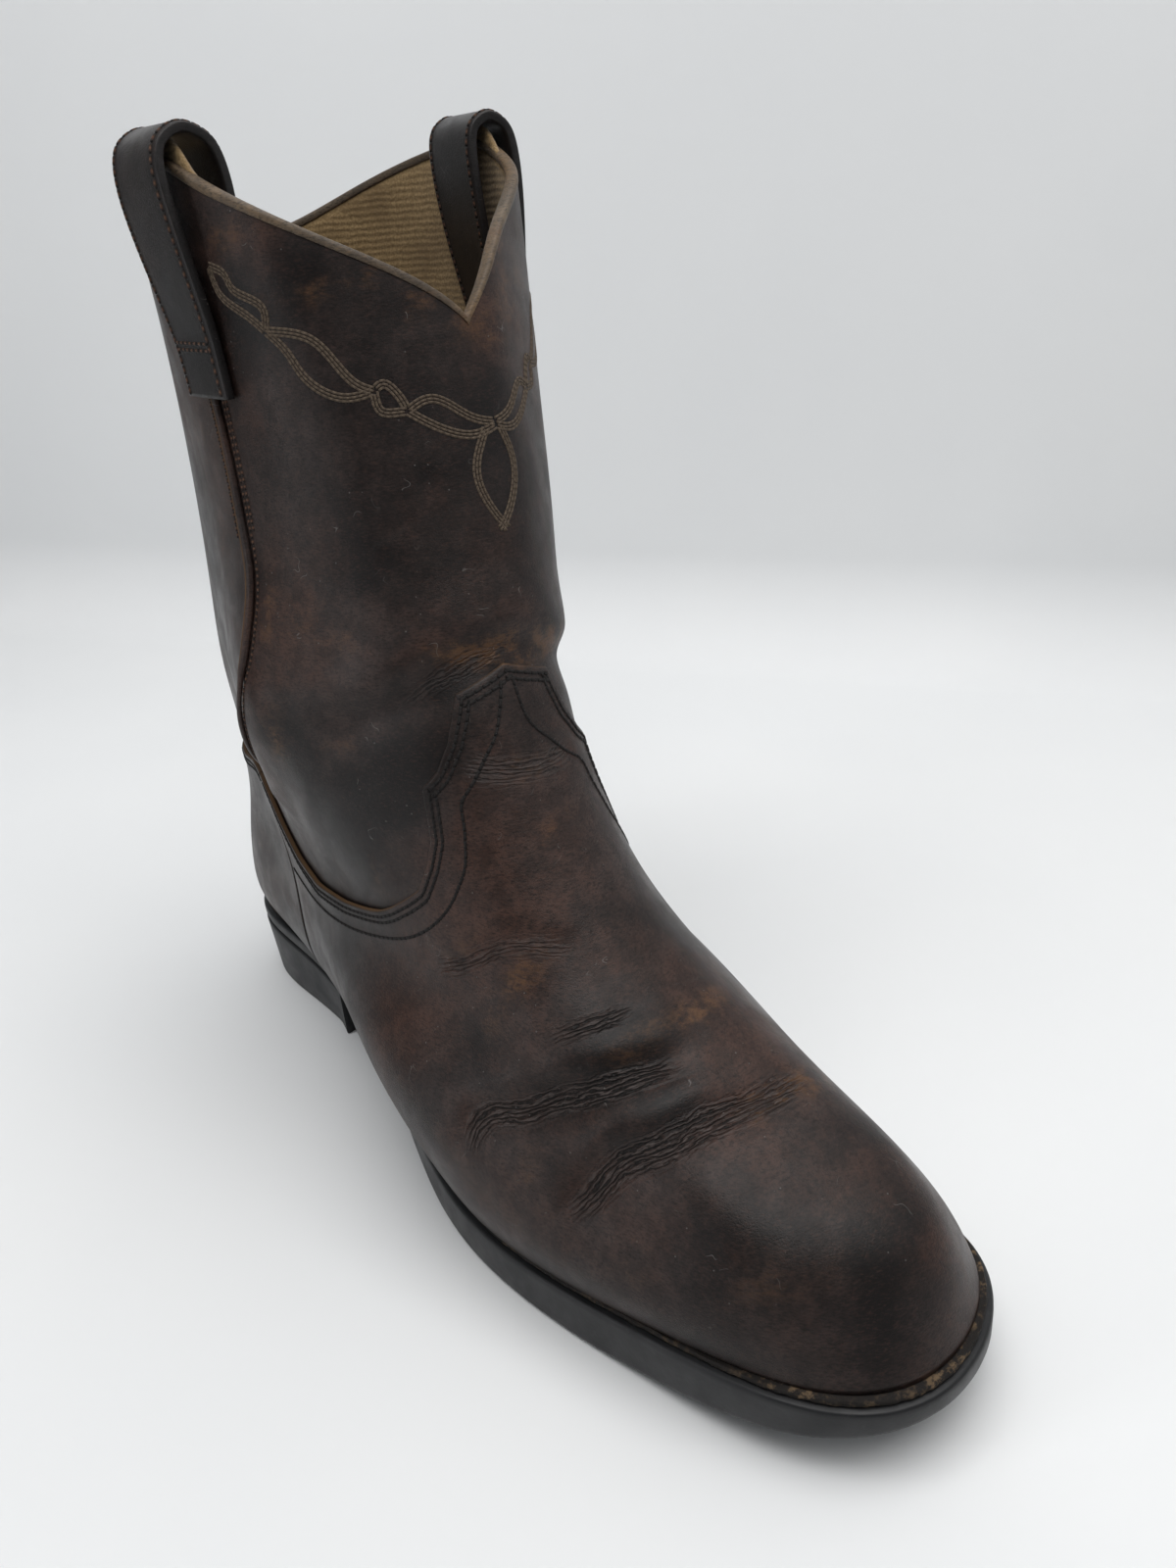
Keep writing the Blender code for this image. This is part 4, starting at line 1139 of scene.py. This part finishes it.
def at_height(loop, height):
    """A copy of a loop at other heights."""
    moved = loop.copy()
    moved[:, 2] = height
    return moved


def rung_t(loop):
    """Distance forward from the back of the sole, the same for both ends of a rung."""
    t = CENTRE_T - loop[:, 1]
    return (t + t[(-np.arange(len(t))) % len(t)]) / 2.0


def sole_underside(loop):
    """Height of the sole's underside at each outline point."""
    seat = loop[:, 2] - 2.0 * GAP - MIDSOLE - SOLE_AT_HEEL
    front = table_curve(SOLE_BOTTOM, rung_t(loop))
    return np.where(rung_t(loop) < BREAST_T, np.maximum(seat, front), front)


def make_outsole():
    """Outsole with rounded edges, its arch and toe spring."""
    loop = sole_outline(margins())
    top = loop[:, 2] - 2.0 * GAP - MIDSOLE
    bottom = sole_underside(loop)
    lower = ((7.0, 0.0), (3.2, 0.0), (1.5, 0.1), (0.7, 0.45), (0.2, 1.1), (0.0, 2.0))
    upper = ((-0.05, -1.6), (0.0, -0.7), (0.25, -0.2), (0.7, 0.0), (7.0, 0.0))
    loops = []
    for level, section in ((bottom, lower), (top, upper)):
        for inset, lift in section:
            loops.append(at_height(sole_outline(margins() - inset), level + lift))
    fit(stack("outsole_rubber", loops, SOLE_RUBBER, 50.0), "rubber", "outsole")


def make_midsole():
    """Thin rough layer that shows as a line between the upper and the outsole."""
    random = np.random.default_rng(SEED + 1)
    loop = sole_outline(margins())
    top = loop[:, 2] - GAP
    loops = []
    for inset, lift in ((6.0, -MIDSOLE), (0.2, -MIDSOLE), (0.0, -1.0), (0.0, -0.4), (0.2, 0.0), (6.0, 0.0)):
        rough = random.uniform(-0.16, 0.16, SOLE_COLUMNS) if inset < 1.0 else 0.0
        moved = sole_outline(margins() - MIDSOLE_RECESS - inset + rough)
        loops.append(at_height(moved, top + lift))
    fit(stack("midsole_line", loops, MIDSOLE_DIRT, 60.0), "midsole", "midsole")


def make_heel():
    """Heel block with its hollow front."""
    loop = sole_outline(margins())
    below = sole_underside(loop) - GAP
    t = rung_t(loop)
    half = SOLE_COLUMNS // 2
    kept = [i for i in range(half, 0, -1) if t[i] < BREAST_T]
    tops = np.concatenate([loop[:, :2], below[:, None]], 1)
    right = [tops[i] for i in kept]
    left = [tops[SOLE_COLUMNS - i] for i in reversed(kept[1:])]
    front = CENTRE_T - BREAST_T
    middle = (right[-1][0] + left[0][0]) / 2.0
    arc_x = np.linspace(right[-1][0], left[0][0], 60)[1:-1]
    reach = np.minimum(np.abs(arc_x - middle), BREAST_RADIUS)
    hollow = front + BREAST_HOLLOW - BREAST_RADIUS + np.sqrt(BREAST_RADIUS**2 - reach**2)
    arc_z = np.linspace(right[-1][2], left[0][2], 60)[1:-1]
    arc = np.stack([arc_x, np.maximum(hollow, front), arc_z], 1)
    outline = np.concatenate([right, arc, left])
    run = np.roll(outline, -1, 0) - np.roll(outline, 1, 0)
    inward = unit(np.stack([-run[:, 1], run[:, 0]], 1))
    centre = outline[:, :2].mean(0)
    if np.sum((centre - outline[:, :2]) * inward) < 0.0:
        inward = -inward
    lean = np.clip((outline[:, 1] - front) / 8.0, 0.0, 1.0)
    rows = []
    for inset, share, lift in ((1.3, 0.0, 0.0), (0.45, 0.0, 0.12), (0.1, 0.0, 0.5), (0.0, 0.0, 1.1),
                               (0.0, 1.0, -1.0), (0.15, 1.0, -0.4), (0.5, 1.0, 0.0)):
        row = outline.copy()
        row[:, :2] += inward * (inset + (1.0 - share) * HEEL_TAPER * lean)[:, None]
        row[:, 2] = share * outline[:, 2] + lift
        rows.append(row)
    grid = np.array(rows)
    index = np.arange(grid[:, :, 0].size).reshape(grid.shape[:2])
    caps = [index[0, ::-1].tolist(), index[-1].tolist()]
    quads = grid_quads(ringed(index))
    heel = closed_piece("heel_rubber", grid.reshape(-1, 3), quads, caps, SOLE_RUBBER, {}, 50.0)
    fit(heel, "rubber", "heel")


# Stitching


def surface_line(angle, ring, lift):
    """Points and outward directions along a line on the folded leather."""
    points, _ = raised(angle, ring, lift)
    return points, skin_normal(angle, ring)


def shifted(angle, ring, distance):
    """A line on the skin moved sideways; + is to the left of its run seen from outside."""
    across, up = skin_slopes(angle, ring)
    run = unit(np.gradient(skin(angle, ring), axis=0))
    side = unit(np.cross(skin_normal(angle, ring), run))
    wanted = side * distance
    aa = np.sum(across * across, 1)
    uu = np.sum(up * up, 1)
    au = np.sum(across * up, 1)
    wa = np.sum(wanted * across, 1)
    wu = np.sum(wanted * up, 1)
    scale = aa * uu - au * au
    return angle + (wa * uu - wu * au) / scale, ring + (wu * aa - wa * au) / scale


def stitches(points, normals, size):
    """Stitch meshes along a line: points, faces and the share that is down its hole, which is painted as
    shade.
    """
    pitch, long, radius = size
    steps = np.linalg.norm(np.diff(points, axis=0), axis=1)
    place = np.concatenate([[0.0], np.cumsum(steps)])
    count = int(place[-1] / pitch)
    starts = pitch * np.arange(count) + (place[-1] - pitch * count) / 2.0
    shares = np.array([0.0, 0.22, 0.5, 0.78, 1.0])
    wanted = starts[:, None] + (pitch - long) / 2.0 + long * shares[None]
    line = np.stack([np.interp(wanted, place, points[:, i]) for i in range(3)], -1)
    up = unit(np.stack([np.interp(wanted, place, normals[:, i]) for i in range(3)], -1))
    run = unit(line[:, -1] - line[:, 0])[:, None]
    side = unit(np.cross(up, run))
    sink = radius * np.array([-0.55, -0.40, -0.10, -0.40, -0.55])
    thick = radius * np.array([1.10, 1.15, 0.80, 1.15, 1.10])
    line = line + up * sink[None, :, None]
    turn = np.linspace(0.0, 2.0 * np.pi, STITCH_ROUND, endpoint=False)[:, None]
    ring = side[:, :, None] * np.cos(turn) + up[:, :, None] * np.sin(turn)
    solid = line[:, :, None] + ring * thick[None, :, None, None]
    one = np.arange(len(shares) * STITCH_ROUND).reshape(len(shares), STITCH_ROUND)
    first = one.size * np.arange(count)[:, None, None]
    faces = (grid_quads(ringed(one))[None] + first).reshape(-1, 4).tolist()
    caps = np.stack([one[0, ::-1], one[-1]])
    faces += (caps[None] + first).reshape(-1, STITCH_ROUND).tolist()
    hole_shade = np.repeat(np.array([1.0, 0.9, 0.0, 0.9, 1.0]), STITCH_ROUND)
    return solid.reshape(-1, 3), faces, np.tile(hole_shade, count)


def sew(name, lines, size, material, slot):
    """One joined mesh of stitches along several lines."""
    all_points = []
    all_faces = []
    all_holes = []
    total = 0
    for points, normals in lines:
        solid, faces, holes = stitches(points, normals, size)
        all_points.append(solid)
        all_faces += [[corner + total for corner in face] for face in faces]
        all_holes.append(holes)
        total += len(solid)
    values = {"hole_shade": np.concatenate(all_holes)}
    fit(new_piece(name, np.concatenate(all_points), all_faces, material, values), slot)


def edge_rows(angle, ring, distances, lift):
    """Stitch lines at distances inside an edge."""
    rows = []
    for distance in distances:
        moved_angle, moved_ring = shifted(angle, ring, distance)
        rows.append(surface_line(moved_angle, moved_ring, lift))
    return rows


def sew_vamp():
    """Double row along the vamp's edge and a single row inside it."""
    over = GAP + OVERLAY
    angle = np.linspace(-WING_END + 1.0, WING_END - 1.0, 700)
    ring = table_line(VAMP_EDGE, np.abs(angle))
    lines = edge_rows(angle, ring, (-1.7, -3.4), over)
    for side in (-1.0, 1.0):
        path = smooth_path(INNER_ROW, 300)
        lines.append(surface_line(side * path[:, 0], path[:, 1], over))
    sew("vamp_stitches", lines, FINE_STITCH, DARK_THREAD, "leather")


def sew_counter():
    """Double row along the counter's edge."""
    start = WING_END + PIECE_GAP + 1.0
    angle = np.linspace(start, 360.0 - start, 300)
    ring = table_line(COUNTER_EDGE, from_toe(angle))
    lines = edge_rows(angle, ring, (-1.5, -3.2), GAP + OVERLAY)
    sew("counter_stitches", lines, FINE_STITCH, DARK_THREAD, "leather")


def sew_seams():
    """Rows beside each piped side seam."""
    lines = []
    for side in (-1.0, 1.0):
        path = smooth_path(SEAM_PATH, 200)
        for distance, share in ((-2.5, 1.0), (2.9, 1.0), (-3.9, 0.20), (4.3, 0.20)):
            kept = path[:int(share * len(path))]
            angle, ring = shifted(side * kept[:, 0], kept[:, 1], side * distance)
            lines.append(surface_line(angle, ring, 0.0))
    sew("seam_stitches", lines, SEAM_STITCH, BROWN_THREAD, "leather")


def sew_ornament():
    """Three close rows of pale chain stitch round each leaf of the ornament."""
    lines = []
    strands = []
    for side in (1.0, -1.0):
        for strand in ORNAMENT:
            strands.append([(ORNAMENT_MIDDLE + side * angle, ring) for angle, ring in strand])
        middle = ORNAMENT_MIDDLE - PENDANT_SHIFT
        strands.append([(middle + side * (angle + PENDANT_SHIFT), ring) for angle, ring in PENDANT])
    for strand in strands:
        path = smooth_path(strand, 120)
        for distance in (-0.72, 0.0, 0.72):
            angle, ring = shifted(path[:, 0], path[:, 1], distance)
            lines.append(surface_line(angle, ring, 0.0))
    sew("ornament_stitches", lines, CHAIN_STITCH, TAN_THREAD, "leather")


def sew_straps():
    """A row along both edges of each pull strap, with cross rows on the tab."""
    lines = []
    path, half = strap_path(400)
    half = half - STRAP_INSET
    for strap in STRAPS:
        middle, normal = strap_sheet(strap, path, np.stack([half, -half]))
        lines.extend(zip(middle + normal * (STRAP_THICK / 2.0), normal))
        for drop in STRAP_BOX:
            place = np.argmin(np.abs(path[:200, 0] - drop))
            cross = np.linspace(-half[place], half[place], 40)
            near = path[place - 1:place + 2]
            middle, normal = strap_sheet(strap, near, np.repeat(cross[:, None], 3, 1))
            lines.append((middle[:, 1] + normal[:, 1] * (STRAP_THICK / 2.0), normal[:, 1]))
    sew("strap_stitches", lines, STRAP_STITCH, BROWN_THREAD, "leather")


# Studio


def make_floor():
    """Pale paper floor that curves up into a backdrop behind the boot."""
    yaw = math.radians(BACKDROP_YAW)
    along = np.array([math.sin(yaw), math.cos(yaw), 0.0])
    across = np.array([math.cos(yaw), -math.sin(yaw), 0.0])
    bend = 0.34
    radius = 0.05
    turn = np.linspace(0.0, np.pi / 2.0, 24)
    forward = np.concatenate([[-1.6, -0.4, bend - 0.05], bend + radius * np.sin(turn), [bend + radius]])
    height = np.concatenate([np.zeros(3), radius - radius * np.cos(turn), [2.2]])
    sides = np.linspace(-2.0, 2.0, 9)
    grid = forward[:, None, None] * along + sides[:, None] * across
    grid[:, :, 2] += height[:, None]
    faces = grid_quads(np.arange(grid[:, :, 0].size).reshape(grid.shape[:2])).tolist()
    made = new_piece("studio_floor", grid.reshape(-1, 3) / MM, faces, plain_stage(), {})


def add_light(name, place, target, wide, high, power, colour):
    """A soft rectangular light aimed at a point."""
    lamp = bpy.data.lights.new(name, "AREA")
    lamp.shape = "RECTANGLE"
    lamp.size = wide
    lamp.size_y = high
    lamp.energy = power
    lamp.color = colour
    made = add_object(name, lamp)
    made.location = place
    back = unit(np.array(place) - np.array(target))
    right = unit(np.cross((0.0, 0.0, 1.0), back))
    up = np.cross(back, right)
    made.rotation_euler = Matrix(np.stack([right, up, back], 1).tolist()).to_euler()


def make_lights():
    """Pale room with large soft lights above and at the sides."""
    world = bpy.data.worlds.new("studio")
    world.use_nodes = True
    backdrop = world.node_tree.nodes["Background"]
    backdrop.inputs["Color"].default_value = (0.94, 0.97, 1.0, 1.0)
    backdrop.inputs["Strength"].default_value = 0.12
    bpy.context.scene.world = world
    for light in LIGHTS:
        add_light(*light)


def make_camera():
    """Camera at the photo's place and angle to the boot."""
    yaw = math.radians(CAMERA_YAW)
    pitch = math.radians(CAMERA_PITCH)
    roll = math.radians(CAMERA_ROLL)
    ahead = np.array([math.sin(yaw) * math.cos(pitch), math.cos(yaw) * math.cos(pitch), -math.sin(pitch)])
    level = np.array([math.cos(yaw), -math.sin(yaw), 0.0])
    above = np.cross(level, ahead)
    right = math.cos(roll) * level + math.sin(roll) * above
    up = -math.sin(roll) * level + math.cos(roll) * above
    lens = bpy.data.cameras.new("photo_camera")
    lens.sensor_width = SENSOR
    lens.lens = CAMERA_FOCAL / FRAME_HEIGHT * SENSOR
    lens.clip_start = 0.01
    made = add_object("photo_camera", lens)
    turn = Matrix(np.stack([right, up, -ahead], 1).tolist()).to_4x4()
    made.matrix_world = Matrix.Translation(np.array(CAMERA_PLACE) * MM) @ turn
    bpy.context.scene.camera = made


def dress_insole():
    """The insole's own solid with its leather."""
    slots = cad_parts["insole"].data.materials
    slots.clear()
    slots.append(INSOLE_LEATHER)


make_camera()
make_floor()
make_lights()
make_upper()
make_lining()
make_vamp()
make_counter()
make_seam("side_seam_lateral", -1.0)
make_seam("side_seam_medial", 1.0)
make_binding()
for strap in STRAPS:
    make_strap(strap)
make_outsole()
make_midsole()
make_heel()
dress_insole()
sew_vamp()
sew_counter()
sew_seams()
sew_ornament()
sew_straps()
bpy.context.scene.view_settings.view_transform = "Standard"
